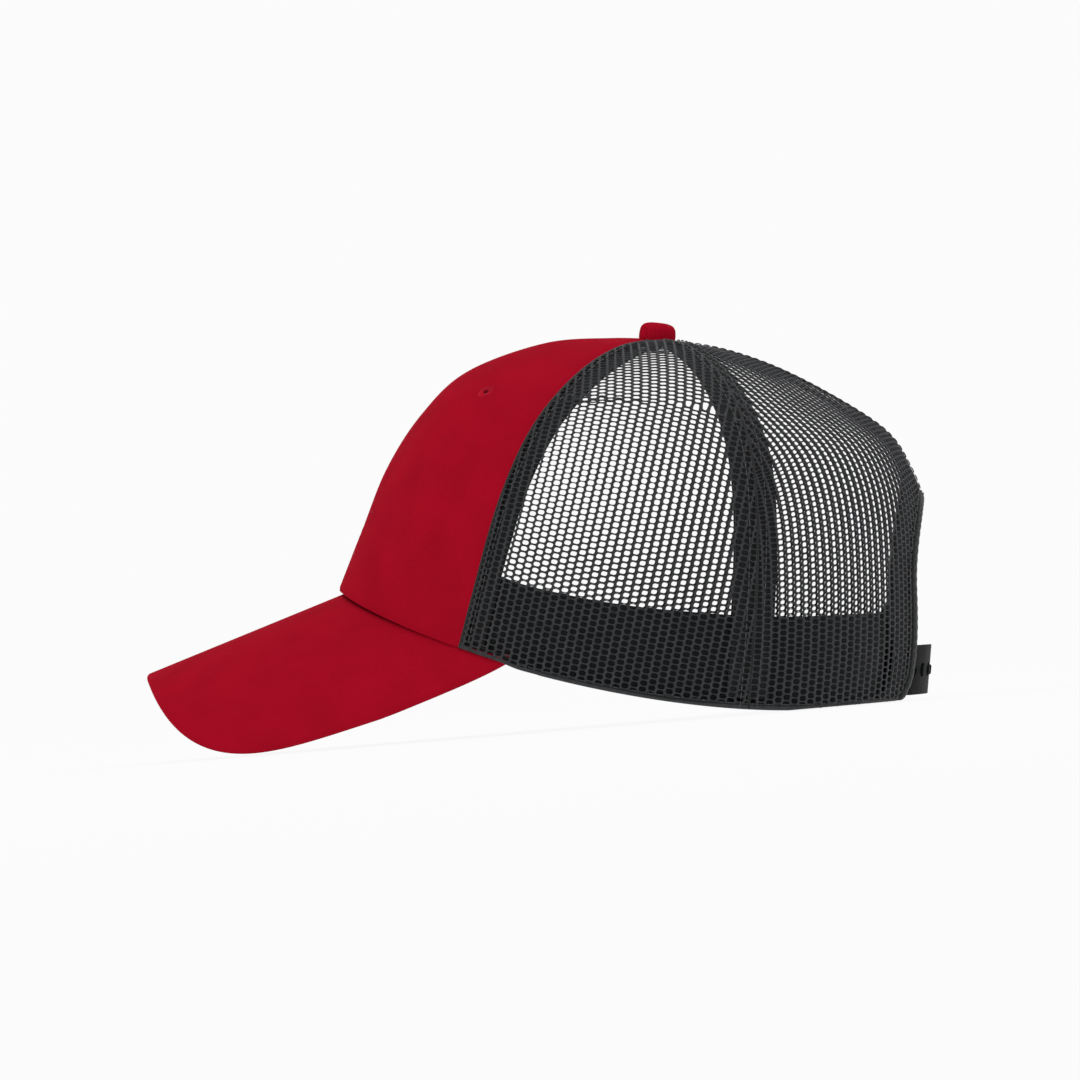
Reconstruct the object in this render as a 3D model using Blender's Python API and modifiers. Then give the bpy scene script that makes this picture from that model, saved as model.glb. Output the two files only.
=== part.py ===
"""A trucker mesh cap resting on a table: a six-panel crown, a curved visor and a snap strap.

Units are metres and +Z is up. The visor points along -Y and +X is the wearer's left. The origin
is the middle of the cap's bounding box, on the table. The crown is one smooth surface, addressed
by an angle round the button (0 at the front, 90 degrees at the wearer's left) and by a share of
the way from the rim (0) to the button (1). Each layer of the cap is that surface, moved inwards.
"""

import math

import bmesh
import bpy
import numpy as np
from mathutils import Matrix, Vector

# Crown. A profile lists (distance from the button's axis, height) from the rim to the button.
ORIGIN_SHIFT = 0.0288
BUTTON_AXIS_Y = 0.0210 + ORIGIN_SHIFT
BUTTON_HEIGHT = 0.1330
HALF_WIDTH = 0.0820
FRONT_PROFILE = (
    (0.1182, 0.0522), (0.1079, 0.0739), (0.0976, 0.0947), (0.0842, 0.1128),
    (0.0672, 0.1267), (0.0391, 0.1347), (0.0150, 0.1345), (0.0, BUTTON_HEIGHT),
)
SIDE_PROFILE = (
    (HALF_WIDTH, 0.0053), (0.0836, 0.0260), (0.0838, 0.0500), (0.0815, 0.0720), (0.0750, 0.0920),
    (0.0630, 0.1090), (0.0450, 0.1225), (0.0230, 0.1310), (0.0, BUTTON_HEIGHT),
)
REAR_PROFILE = (
    (0.0823, 0.0), (0.0865, 0.0200), (0.0882, 0.0430), (0.0882, 0.0660), (0.0846, 0.0810),
    (0.0755, 0.0962), (0.0493, 0.1151), (0.0250, 0.1268), (0.0, BUTTON_HEIGHT),
)
FRONT_SQUARENESS = 2.33
REAR_SQUARENESS = 2.1
REAR_FACET = 0.085
REAR_FACET_POWER = 2.2
REAR_FACET_SPAN = (0.44, 0.66)
RIM_FLAT_FROM_Y = 0.0704 + ORIGIN_SHIFT
RIM_RISE = 0.0063
RIM_POWER = 1.75
RIM_SINK = 0.0006
RIM_CORNER_Y = -0.0360 + ORIGIN_SHIFT
RIM_CORNER_RUN = 0.0085
PROFILE_SAMPLES = 401

# Seams between the panels: (angle at the rim, how far it drifts towards the button), degrees.
FRONT_SEAM = (0.0, 0.0)
FRONT_SIDE_SEAM = (52.0, 18.0)
SIDE_REAR_SEAM = (103.5, 11.5)
BACK_SEAM = (180.0, 0.0)
SEAM_GAP = 0.0006
APEX_SHARE = 0.975

# Layers, as depths below the outer face of the crown.
PANEL_THICKNESS = 0.0010
BUCKRAM_DEPTH = 0.0014
BUCKRAM_THICKNESS = 0.0008
BUCKRAM_INSET = 0.0060
BUCKRAM_BOTTOM, BUCKRAM_TOP = 0.03, 0.82
TAPE_WIDTH = 0.0150
TAPE_THICKNESS = 0.0006
FRONT_TAPE_DEPTH = 0.0027
MESH_TAPE_DEPTH = 0.0019
SWEATBAND_DEPTH = 0.0038
SWEATBAND_THICKNESS = 0.0015
SWEATBAND_HEIGHT = 0.0310
SWEATBAND_LIFT = 0.0012

# Opening at the back, as a flat width and height on the crown's surface.
ARCH_RADIUS = 0.0310
ARCH_SPRING = 0.0385
BINDING_WIDTH = 0.0036
BINDING_RISE = 0.0003
BINDING_THICKNESS = 0.0012
BINDING_GAP = 0.0004
BINDING_LOW = 0.0010
SPRING_ROW, CREST_ROW = 0.2, 0.5  # shares of a rear panel's rows below the arch's round and its top

# Snap strap. Its arc lies in a frame that leans back with the crown's wall.
STRAP_RADIUS = 0.0700
STRAP_LEAN = math.radians(9.4)
STRAP_FOOT_Y = 0.1047 + ORIGIN_SHIFT
STRAP_FOOT_Z = 0.0016
STRAP_HEIGHT = 0.0172
STRAP_THICKNESS = 0.0010
STRAP_LAYER_GAP = 0.0004
STRAP_FLEX = 0.0315
STRAP_TIP = 0.0245
STRAP_TIP_RADIUS = 0.0065
STRAP_SLICE = 0.0060
SNAP_PITCH = 0.0095
SNAP_FIRST, SNAP_LAST = -2, 3
HOLE_RADIUS = 0.0025
PEG_RADIUS = 0.0018
PEG_PROUD = 0.0006
ROOT_LENGTH = 0.0160
ROOT_DEPTH = 0.0018
FLEX_GAP = 0.0004

# Visor: a bent sheet on a sloping cylinder, cut to a squared outline when flat.
VISOR_RADIUS = 0.0820
VISOR_SLOPE = math.radians(17.5)
VISOR_RIDGE_Y = -0.0975 + ORIGIN_SHIFT
VISOR_RIDGE_Z = 0.05252
VISOR_HALF_WIDTH = 0.0895
VISOR_REACH = 0.0726
VISOR_TAIL = 0.0810
VISOR_SQUARENESS = 4.5
VISOR_TAPER = 0.0695
VISOR_CORNER = math.radians(107.5)
CROWN_CORNER = math.radians(59.5)
VISOR_COVER = 0.0007
VISOR_BOARD = 0.0015
VISOR_LAYER_GAP = 0.0004
VISOR_BOARD_INSET = 0.0025
VISOR_CROWN_GAP = 0.0021
VISOR_UNDERLAP = 0.0022
BOARD_TRIM = 0.92

# Button and eyelets.
BUTTON_TILT = math.radians(-11.0)
BUTTON_RADIUS = 0.0063
BUTTON_RISE = 0.0046
BUTTON_GAP = 0.0007
RIVET_RADIUS = 0.0011
RIVET_DISC_RADIUS = 0.0050
RIVET_DISC_TOP = -0.0042
EYELET_ANGLE = math.radians(43.5)
EYELET_SHARE = 0.58
EYELET_HOLE = 0.0019
EYELET_SLEEVE = 0.0027
EYELET_FLANGE = 0.0041
EYELET_CLEARANCE = 0.0004

RED = (0.38, 0.004, 0.017)
BLACK = (0.017, 0.018, 0.019)
PLASTIC = (0.013, 0.014, 0.017)
STIFFENER = (0.62, 0.60, 0.56)
METAL = (0.45, 0.45, 0.46)


def spline(points, per_span=24):
    """A smooth curve through every point."""
    p = np.array(points, float)
    p = np.vstack([2 * p[0] - p[1], p, 2 * p[-1] - p[-2]])
    s = np.linspace(0, 1, per_span, endpoint=False)[:, None]
    spans = []
    for a, b, c, d in zip(p, p[1:], p[2:], p[3:]):
        cubic = (3 * b - a - 3 * c + d) * s**3
        spans.append(0.5 * (2 * b + (c - a) * s + (2 * a - 5 * b + 4 * c - d) * s**2 + cubic))
    return np.vstack(spans + [p[-2:-1]])


def by_length(line, count):
    """The same curve with evenly spaced points, and its length."""
    steps = np.linalg.norm(np.diff(line, axis=0), axis=1)
    run = np.concatenate([[0], np.cumsum(steps)])
    wanted = np.linspace(0, run[-1], count)
    return np.stack([np.interp(wanted, run, column) for column in line.T], 1), run[-1]


def unit_profile(points):
    """Radius and height along a profile, each as a share, and the profile's length."""
    line, length = by_length(spline(points), PROFILE_SAMPLES)
    radius = line[:, 0] / line[0, 0]
    height = (line[:, 1] - line[0, 1]) / (line[-1, 1] - line[0, 1])
    return radius, height, length


SHARES = np.linspace(0, 1, PROFILE_SAMPLES)
FRONT, SIDE, REAR = (unit_profile(p) for p in (FRONT_PROFILE, SIDE_PROFILE, REAR_PROFILE))


def visor_place(x, y, radius):
    """Where a point of the plan falls on the visor's cylinder: its turn and its flat place."""
    turn = np.arcsin(np.clip(x / radius, -0.98, 0.98))
    drop = VISOR_RADIUS - radius * np.cos(turn)
    along = (VISOR_RIDGE_Y + drop * math.sin(VISOR_SLOPE) - y) / math.cos(VISOR_SLOPE)
    return turn, drop, along


def rim_height(x, y):
    """The rim starts just below the table at the back, rises forwards and follows the visor's top."""
    ahead = np.maximum(0, RIM_FLAT_FROM_Y - y) * 1000
    bare = RIM_RISE * ahead**RIM_POWER / 1000 - RIM_SINK
    _, drop, along = visor_place(x, y, VISOR_RADIUS)
    top = VISOR_RIDGE_Z - along * math.sin(VISOR_SLOPE) - drop * math.cos(VISOR_SLOPE)
    over = np.clip((RIM_CORNER_Y - y) / RIM_CORNER_RUN, 0, 1)
    over = over * over * (3 - 2 * over)
    return bare + over * (top + VISOR_CROWN_GAP - bare)


def seam_angle(seam, share):
    base, drift = seam
    return np.radians(base + drift * np.sin(np.pi / 2 * share))


def rear_facet(angle, share):
    """How much a rear panel is drawn in between its seams above the opening, leaving a ridge."""
    start = seam_angle(SIDE_REAR_SEAM, share)
    turn = np.abs((np.asarray(angle) + np.pi) % (2 * np.pi) - np.pi)
    place = np.clip((turn - start) / (np.pi - start), 0, 1)
    height = np.clip((share - REAR_FACET_SPAN[0]) / (REAR_FACET_SPAN[1] - REAR_FACET_SPAN[0]), 0, 1)
    height = height * height * (3 - 2 * height)
    return REAR_FACET * height * (1 - np.abs(2 * place - 1) ** REAR_FACET_POWER)


def crown(angle, share):
    """Points of the crown's outer face."""
    angle, share = np.broadcast_arrays(np.asarray(angle, float), np.asarray(share, float))
    c, s = np.cos(angle), np.sin(angle)
    power = np.where(c > 0, 2 / FRONT_SQUARENESS, 2 / REAR_SQUARENESS)
    reach = np.where(c > 0, -FRONT_PROFILE[0][0], REAR_PROFILE[0][0]) * np.abs(c) ** power
    across = HALF_WIDTH * np.sign(s) * np.abs(s) ** power
    front, rear = np.clip(c, 0, 1) ** 2, np.clip(-c, 0, 1) ** 2
    parts = ((front, FRONT), (1 - front - rear, SIDE), (rear, REAR))
    radius = sum(weight * np.interp(share, SHARES, part[0]) for weight, part in parts)
    height = sum(weight * np.interp(share, SHARES, part[1]) for weight, part in parts)
    rim = rim_height(across, BUTTON_AXIS_Y + reach)
    radius = radius * (1 - rear_facet(angle, share))
    y = BUTTON_AXIS_Y + reach * radius
    return np.stack([across * radius, y, rim + (BUTTON_HEIGHT - rim) * height], -1)


def layer(angle, share, depth):
    """Points at a depth below the crown's outer face."""
    step = 1e-4
    around = crown(angle + step, share) - crown(angle - step, share)
    upwards = crown(angle, share + step) - crown(angle, share - step)
    outwards = np.cross(around, upwards)
    outwards /= np.linalg.norm(outwards, axis=-1, keepdims=True)
    return crown(angle, share) - outwards * np.asarray(depth)[..., None]


def arc_per_angle(angle, share):
    """Metres of surface for each radian round the crown."""
    step = 1e-3
    chord = crown(angle + step, share) - crown(angle - step, share)
    return np.linalg.norm(chord, axis=-1) / (2 * step)


def arch_half_width(height, widen):
    """Half the back opening's width at a height, with its edge moved outwards by widen."""
    radius = ARCH_RADIUS + widen
    above = np.clip((height - ARCH_SPRING) / radius, 0, 1)
    return radius * np.sqrt(1 - above**2)


def front_angle(half_width, share):
    """The angle at which the front of the crown is this far from its centre line."""
    radius = np.interp(share, SHARES, FRONT[0])
    ratio = np.clip(np.asarray(half_width) / (HALF_WIDTH * radius), 0, 1)
    return np.arcsin(ratio ** (FRONT_SQUARENESS / 2))


def rear_angle(half_width, share):
    """The angle at which the back of the crown is this far from its centre line."""
    radius = np.interp(share, SHARES, REAR[0])
    ratio = np.clip(np.asarray(half_width) / (HALF_WIDTH * radius), 0, 1)
    return np.pi - np.arcsin(ratio ** (REAR_SQUARENESS / 2))


def new_object(name, mesh, colour, roughness=0.8, metallic=0.0):
    """An object in the cap's collection, with its own material."""
    material = bpy.data.materials.new(name)
    material.use_nodes = True
    shader = material.node_tree.nodes["Principled BSDF"]
    shader.inputs["Base Color"].default_value = (*colour, 1)
    shader.inputs["Roughness"].default_value = roughness
    shader.inputs["Metallic"].default_value = metallic
    material.diffuse_color = (*colour, 1)
    mesh.materials.clear()
    mesh.materials.append(material)
    mesh.shade_smooth()
    mesh.set_sharp_from_angle(angle=math.radians(40))
    mesh.name = name
    item = bpy.data.objects.new(name, mesh)
    CAP.objects.link(item)
    return item


def new_cutter(name, mesh):
    cutter = bpy.data.objects.new(name, mesh)
    cutter.hide_render = True
    cutter.display_type = "WIRE"
    CUTTERS.objects.link(cutter)
    return cutter


def cut(item, cutter, operation="DIFFERENCE"):
    boolean = item.modifiers.new(cutter.name, "BOOLEAN")
    boolean.object = cutter
    boolean.operation = operation
    boolean.solver = "EXACT"


def sheet(name, columns, rows, surface, thickness, colour, towards, roughness=0.8):
    """A grid laid on surface(u, v), given a thickness away from the side that faces towards."""
    work = bmesh.new()
    bmesh.ops.create_grid(work, x_segments=columns, y_segments=rows, size=0.5)
    u = np.array([v.co.x for v in work.verts]) + 0.5
    v = np.array([v.co.y for v in work.verts]) + 0.5
    for vertex, point in zip(work.verts, surface(u, v)):
        vertex.co = point
    work.normal_update()
    facing = sum(f.normal.dot(towards(f.calc_center_median())) * f.calc_area() for f in work.faces)
    if facing < 0:
        bmesh.ops.reverse_faces(work, faces=work.faces)
    mesh = bpy.data.meshes.new(name)
    work.to_mesh(mesh)
    work.free()
    item = new_object(name, mesh, colour, roughness)
    solidify = item.modifiers.new("thickness", "SOLIDIFY")
    solidify.thickness = thickness
    solidify.offset = -1
    return item


def out_of_crown(point):
    return point - Vector((0, BUTTON_AXIS_Y, 0.03))


def up(point):
    return Vector((0, 0, 1))


def panel_surface(side, first, last, inset, depth, bottom, top):
    """Maps (u, v) to the panel between two seams, each edge moved in by inset."""
    def surface(u, v):
        share = bottom + (top - bottom) * v
        start, end = seam_angle(first, share), seam_angle(last, share)
        margin = inset / arc_per_angle((start + end) / 2, share)
        start = front_angle(inset, share) if first is FRONT_SEAM else start + margin
        angle = start + (end - margin - start) * u
        return layer(side * angle, share, np.full_like(share, depth))
    return surface


def rear_rows(v, widen):
    """Shares of the way up for a rear panel's rows, closest together at the top of the arch."""
    spring = ARCH_SPRING / REAR[2]
    crest = (ARCH_SPRING + ARCH_RADIUS + widen) / REAR[2]
    turn = np.clip((v - SPRING_ROW) / (CREST_ROW - SPRING_ROW), 0, 1) * np.pi / 2
    low = v / SPRING_ROW * spring
    high = crest + (v - CREST_ROW) / (1 - CREST_ROW) * (APEX_SHARE - crest)
    round_arch = spring + (crest - spring) * np.sin(turn)
    return np.where(v < SPRING_ROW, low, np.where(v < CREST_ROW, round_arch, high))


def rear_panel_surface(side):
    widen = BINDING_WIDTH + BINDING_GAP

    def surface(u, v):
        share = rear_rows(v, widen)
        start = seam_angle(SIDE_REAR_SEAM, share)
        margin = SEAM_GAP / 2 / arc_per_angle(start, share)
        opening = arch_half_width(share * REAR[2], widen)
        end = rear_angle(np.maximum(opening, SEAM_GAP / 2), share)
        angle = start + margin + (end - start - margin) * u
        return layer(side * angle, share, np.zeros_like(share))
    return surface


def panels():
    below = table_cutter()
    for side, hand in ((1, "left"), (-1, "right")):
        half = SEAM_GAP / 2
        front = panel_surface(side, FRONT_SEAM, FRONT_SIDE_SEAM, half, 0.0, 0.0, APEX_SHARE)
        panel = sheet(f"front_panel_{hand}", 9, 14, front, PANEL_THICKNESS, RED, out_of_crown)
        inner = panel_surface(
            side, FRONT_SEAM, FRONT_SIDE_SEAM, BUCKRAM_INSET, BUCKRAM_DEPTH, BUCKRAM_BOTTOM, BUCKRAM_TOP)
        lining = sheet(f"buckram_{hand}", 7, 12, inner, BUCKRAM_THICKNESS, STIFFENER, out_of_crown)
        drill = eyelet_drill(side, hand)
        cut(panel, drill)
        cut(lining, drill)
        eyelet(side, hand)
        flank = panel_surface(side, FRONT_SIDE_SEAM, SIDE_REAR_SEAM, half, 0.0, 0.0, APEX_SHARE)
        mesh_side = sheet(f"side_mesh_{hand}", 7, 14, flank, PANEL_THICKNESS, BLACK, out_of_crown)
        back = rear_panel_surface(side)
        mesh_rear = sheet(f"rear_mesh_{hand}", 6, 20, back, PANEL_THICKNESS, BLACK, out_of_crown)
        cut(mesh_side, below)
        cut(mesh_rear, below)


def table_cutter():
    """Trims the rim where it starts below the table, which leaves it a flat foot at the back."""
    work = bmesh.new()
    size = Vector((0.3, 0.4, 0.02))
    bmesh.ops.create_cube(work, size=1.0, matrix=Matrix.LocRotScale(Vector((0, 0, -0.01)), None, size))
    mesh = bpy.data.meshes.new("below_table")
    work.to_mesh(mesh)
    work.free()
    return new_cutter("below_table", mesh)


def frame_at(angle, share):
    """A frame on the crown with +Z pointing out of it."""
    place = crown(angle, share)
    outwards = place - layer(angle, share, np.array(1.0))
    turn = Vector(outwards).to_track_quat("Z", "Y").to_matrix().to_4x4()
    return Matrix.Translation(Vector(place)) @ turn


def eyelet_drill(side, hand):
    work = bmesh.new()
    radius = EYELET_SLEEVE + EYELET_CLEARANCE
    bmesh.ops.create_cone(
        work, cap_ends=True, segments=14, radius1=radius, radius2=radius, depth=0.02)
    mesh = bpy.data.meshes.new(f"eyelet_drill_{hand}")
    work.to_mesh(mesh)
    work.free()
    drill = new_cutter(f"eyelet_drill_{hand}", mesh)
    drill.matrix_world = frame_at(side * EYELET_ANGLE, EYELET_SHARE)
    return drill


def turned(name, outline, colour, steps, roughness=0.6, metallic=0.0):
    """A profile of (radius, height) points turned about Z, listed down its outer side."""
    mesh = bpy.data.meshes.new(name)
    points = [(radius, 0, height) for radius, height in outline]
    mesh.from_pydata(points, [(i, i + 1) for i in range(len(points) - 1)], [])
    item = new_object(name, mesh, colour, roughness, metallic)
    screw = item.modifiers.new("turn", "SCREW")
    screw.steps = screw.render_steps = steps
    screw.merge_threshold = 0.00001
    screw.use_merge_vertices = True
    return item


def eyelet(side, hand):
    """A stitched ring: a sleeve through the panel and its lining, and a flange outside."""
    low = -BUCKRAM_DEPTH - BUCKRAM_THICKNESS
    flange = EYELET_CLEARANCE
    outline = (
        (EYELET_HOLE, flange + 0.0006), (EYELET_FLANGE - 0.0004, flange + 0.0006),
        (EYELET_FLANGE, flange + 0.0003), (EYELET_FLANGE, flange), (EYELET_SLEEVE, flange),
        (EYELET_SLEEVE, low), (EYELET_HOLE, low), (EYELET_HOLE, flange + 0.0006),
    )
    ring = turned(f"eyelet_{hand}", outline, RED, 14, roughness=0.5)
    ring.matrix_world = frame_at(side * EYELET_ANGLE, EYELET_SHARE)


def tape(name, seam, side, depth, bottom, top, rows):
    """A strip along a seam on the inside of the crown."""
    def surface(u, v):
        share = bottom + (top - bottom) * v
        off_centre = np.abs(2 * u - 1) * TAPE_WIDTH / 2
        hand = np.where(u < 0.5, -1, 1)
        if seam is FRONT_SEAM:
            angle = hand * front_angle(off_centre, share)
        elif seam is BACK_SEAM:
            angle = hand * rear_angle(off_centre, share)
        else:
            middle = seam_angle(seam, share)
            angle = side * middle + hand * off_centre / arc_per_angle(middle, share)
        return layer(angle, share, np.full_like(share, depth))
    sheet(name, 2, rows, surface, TAPE_THICKNESS, BLACK, out_of_crown)


def tapes():
    crest = (ARCH_SPRING + ARCH_RADIUS + BINDING_WIDTH) / REAR[2]
    tape("front_seam_tape", FRONT_SEAM, 1, FRONT_TAPE_DEPTH, 0.02, 0.90, 14)
    tape("back_seam_tape", BACK_SEAM, 1, MESH_TAPE_DEPTH, crest + 0.02, 0.88, 12)
    for side, hand in ((1, "left"), (-1, "right")):
        tape(f"front_side_tape_{hand}", FRONT_SIDE_SEAM, side, FRONT_TAPE_DEPTH, 0.02, 0.90, 14)
        tape(f"side_rear_tape_{hand}", SIDE_REAR_SEAM, side, MESH_TAPE_DEPTH, 0.02, 0.90, 14)


def sweatband():
    """One band round the inside of the rim, from one edge of the back opening to the other."""
    edge = rear_angle(ARCH_RADIUS + BINDING_WIDTH + 0.001, 0.1)

    def surface(u, v):
        angle = (2 * u - 1) * edge
        length = FRONT[2] + (REAR[2] - FRONT[2]) * (1 - np.cos(angle)) / 2
        share = (SWEATBAND_LIFT + v * (SWEATBAND_HEIGHT - SWEATBAND_LIFT)) / length
        return layer(angle, share, np.full_like(share, SWEATBAND_DEPTH))
    sheet("sweatband", 56, 3, surface, SWEATBAND_THICKNESS, BLACK, out_of_crown, roughness=0.9)


def arch_binding():
    """Tape folded over the edge of the back opening."""
    crest_turn = ARCH_RADIUS * math.pi / 2
    half_path = ARCH_SPRING + crest_turn

    def surface(u, v):
        run = np.abs(2 * u - 1) * half_path
        from_crest = np.clip(run / crest_turn, 0, 1) * math.pi / 2
        radius = ARCH_RADIUS + v * BINDING_WIDTH
        height = ARCH_SPRING + radius * np.cos(from_crest) - np.maximum(0, run - crest_turn)
        share = np.maximum(height, BINDING_LOW) / REAR[2]
        angle = rear_angle(radius * np.sin(from_crest), share)
        angle = np.where(u < 0.5, -angle, angle)
        return layer(angle, share, np.full_like(share, -BINDING_RISE))
    sheet("arch_binding", 40, 1, surface, BINDING_THICKNESS, BLACK, out_of_crown)


def visor_point(across, along, depth):
    """A point of the bent visor from its flat pattern: across the ridge and along it."""
    turn = across / VISOR_RADIUS
    radius = VISOR_RADIUS - depth
    drop = VISOR_RADIUS - radius * np.cos(turn)
    y = VISOR_RIDGE_Y - along * math.cos(VISOR_SLOPE) + drop * math.sin(VISOR_SLOPE)
    z = VISOR_RIDGE_Z - along * math.sin(VISOR_SLOPE) - drop * math.cos(VISOR_SLOPE)
    return np.stack([radius * np.sin(turn), y, z], -1)


def signed_power(value, power):
    return np.sign(value) * np.abs(value) ** power


def visor_outer(inset, trim):
    """The flat pattern's outer edge, from the right corner round to the left."""
    turn = np.linspace(-VISOR_CORNER, VISOR_CORNER, 2001) * trim
    power = 2 / VISOR_SQUARENESS
    reach = np.where(np.cos(turn) > 0, VISOR_REACH - inset, VISOR_TAIL)
    along = reach * signed_power(np.cos(turn), power)
    taper = 1 - VISOR_TAPER * np.clip(along / VISOR_REACH, 0, 1)
    across = (VISOR_HALF_WIDTH - inset) * taper * signed_power(np.sin(turn), power)
    return np.stack([across, along], 1)


def visor_inner(inset, depth, trim):
    """The flat pattern's inner edge, which runs in under the crown's rim."""
    angle = np.linspace(-CROWN_CORNER, CROWN_CORNER, 801) * trim
    wall = layer(angle, np.zeros_like(angle), np.full_like(angle, VISOR_UNDERLAP - inset))
    turn, _, along = visor_place(wall[:, 0], wall[:, 1], VISOR_RADIUS - depth)
    return np.stack([turn * VISOR_RADIUS, along], 1)


def visor_sheet(name, depth, thickness, inset, trim, colour, roughness):
    """One layer of the visor, fanned between its inner and outer edges."""
    columns, rows = 28, 6
    outer = by_length(visor_outer(inset, trim), columns + 1)[0]
    inner = by_length(visor_inner(inset / 2, depth + thickness, trim), columns + 1)[0]

    def surface(u, v):
        across = np.interp(u, np.linspace(0, 1, columns + 1), np.arange(columns + 1))
        column = np.rint(across).astype(int)
        flat = inner[column] + (outer[column] - inner[column]) * v[:, None]
        return visor_point(flat[:, 0], flat[:, 1], depth)
    sheet(name, columns, rows, surface, thickness, colour, up, roughness)


def visor():
    board_depth = VISOR_COVER + VISOR_LAYER_GAP
    under_depth = board_depth + VISOR_BOARD + VISOR_LAYER_GAP
    visor_sheet("visor_top_cover", 0.0, VISOR_COVER, 0.0, 1.0, RED, 0.8)
    visor_sheet("visor_board", board_depth, VISOR_BOARD, VISOR_BOARD_INSET, BOARD_TRIM, STIFFENER, 0.5)
    visor_sheet("visor_under_cover", under_depth, VISOR_COVER, 0.0, 1.0, RED, 0.8)


def button():
    """A covered dome on top, held by a rivet whose disc sits inside the crown."""
    base = bpy.data.objects.new("button_axis", None)
    CAP.objects.link(base)
    base.matrix_world = (
        Matrix.Translation((0, BUTTON_AXIS_Y, BUTTON_HEIGHT)) @ Matrix.Rotation(BUTTON_TILT, 4, "X"))
    low = BUTTON_GAP
    top = low + BUTTON_RISE
    dome = (
        (0.0, top), (0.0030, top - 0.0002), (0.0048, top - 0.0009),
        (BUTTON_RADIUS - 0.0003, top - 0.0022), (BUTTON_RADIUS, low + 0.0012),
        (BUTTON_RADIUS - 0.0002, low + 0.0002), (BUTTON_RADIUS - 0.0012, low),
        (BUTTON_RADIUS - 0.0012, low + 0.0012), (RIVET_RADIUS + 0.0004, low + 0.0012),
        (RIVET_RADIUS + 0.0004, low + 0.0032), (0.0, low + 0.0032),
    )
    cover = turned("button_cover", dome, RED, 18)
    disc_low = RIVET_DISC_TOP - 0.0008
    pin = (
        (0.0, low + 0.0028), (RIVET_RADIUS, low + 0.0026), (RIVET_RADIUS, RIVET_DISC_TOP),
        (RIVET_DISC_RADIUS, RIVET_DISC_TOP), (RIVET_DISC_RADIUS, disc_low), (0.0, disc_low),
    )
    rivet = turned("button_rivet", pin, METAL, 14, roughness=0.35, metallic=1.0)
    cover.parent = base
    rivet.parent = base


def strap_frame():
    """The strap arc's own frame: +Z leans back with the wall, and the arc bulges along +Y."""
    back = STRAP_RADIUS * math.cos(STRAP_LEAN)
    rise = STRAP_RADIUS * math.sin(STRAP_LEAN)
    origin = Vector((0, STRAP_FOOT_Y - back, STRAP_FOOT_Z + rise))
    return Matrix.Translation(origin) @ Matrix.Rotation(-STRAP_LEAN, 4, "X")


def strap_outline(side, holed):
    """The free strap laid flat: round at its tip and square where it flexes."""
    start, tip = STRAP_FLEX + FLEX_GAP / 2, -STRAP_TIP
    corners = [(start, 0), (tip + STRAP_TIP_RADIUS, 0)]
    for turn in np.linspace(-math.pi / 2, 0, 5)[1:]:
        x = tip + STRAP_TIP_RADIUS * (1 - math.cos(turn))
        corners.append((x, STRAP_TIP_RADIUS * (1 + math.sin(turn))))
    for turn in np.linspace(0, math.pi / 2, 5)[:-1]:
        x = tip + STRAP_TIP_RADIUS * (1 - math.cos(turn))
        corners.append((x, STRAP_HEIGHT - STRAP_TIP_RADIUS * (1 - math.sin(turn))))
    corners += [(tip + STRAP_TIP_RADIUS, STRAP_HEIGHT), (start, STRAP_HEIGHT)]
    loops = [[(side * x, y) for x, y in corners]]
    if holed:
        turns = np.linspace(0, 2 * math.pi, 12, endpoint=False)
        ring = [(HOLE_RADIUS * math.cos(turn), HOLE_RADIUS * math.sin(turn)) for turn in turns]
        for middle in snap_places():
            loops.append([(side * middle + x, STRAP_HEIGHT / 2 + y) for x, y in ring])
    return loops


def snap_places():
    return [SNAP_PITCH * number for number in range(SNAP_FIRST, SNAP_LAST + 1)]


def flat_plate(loops):
    """A filled 2D curve as a mesh, sliced along its length so that it can bend."""
    curve = bpy.data.curves.new("outline", "CURVE")
    curve.dimensions = "2D"
    curve.fill_mode = "BOTH"
    curve.extrude = STRAP_THICKNESS / 2
    for loop in loops:
        line = curve.splines.new("POLY")
        line.points.add(len(loop) - 1)
        line.use_cyclic_u = True
        for point, (x, y) in zip(line.points, loop):
            point.co = (x, y, 0, 1)
    guide = bpy.data.objects.new("outline", curve)
    CAP.objects.link(guide)
    mesh = bpy.data.meshes.new_from_object(guide.evaluated_get(bpy.context.evaluated_depsgraph_get()))
    bpy.data.objects.remove(guide)
    work = bmesh.new()
    work.from_mesh(mesh)
    bmesh.ops.remove_doubles(work, verts=work.verts, dist=0.00001)
    low, high = min(v.co.x for v in work.verts), max(v.co.x for v in work.verts)
    for place in np.arange(low + STRAP_SLICE / 2, high, STRAP_SLICE):
        everything = work.verts[:] + work.edges[:] + work.faces[:]
        bmesh.ops.bisect_plane(
            work, geom=everything, dist=0.00001, plane_co=(place, 0, 0), plane_no=(1, 0, 0))
    bmesh.ops.recalc_face_normals(work, faces=work.faces)
    work.to_mesh(mesh)
    work.free()
    return mesh


def on_arc(run, height, outwards):
    """A point of the strap from its flat place, in the strap's frame."""
    turn = run / STRAP_RADIUS
    radius = STRAP_RADIUS + outwards
    y = radius * math.cos(turn)
    level = (STRAP_RADIUS - y) * math.tan(STRAP_LEAN)
    return Vector((radius * math.sin(turn), y, height - level))


def flex_axis(side, outwards):
    """The axis of a strap's flex line, as an empty that the strap hangs on."""
    axis = bpy.data.objects.new("flex_axis", None)
    CAP.objects.link(axis)
    axis.matrix_world = strap_frame() @ Matrix.Translation(on_arc(side * STRAP_FLEX, 0, outwards))
    return axis


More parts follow.
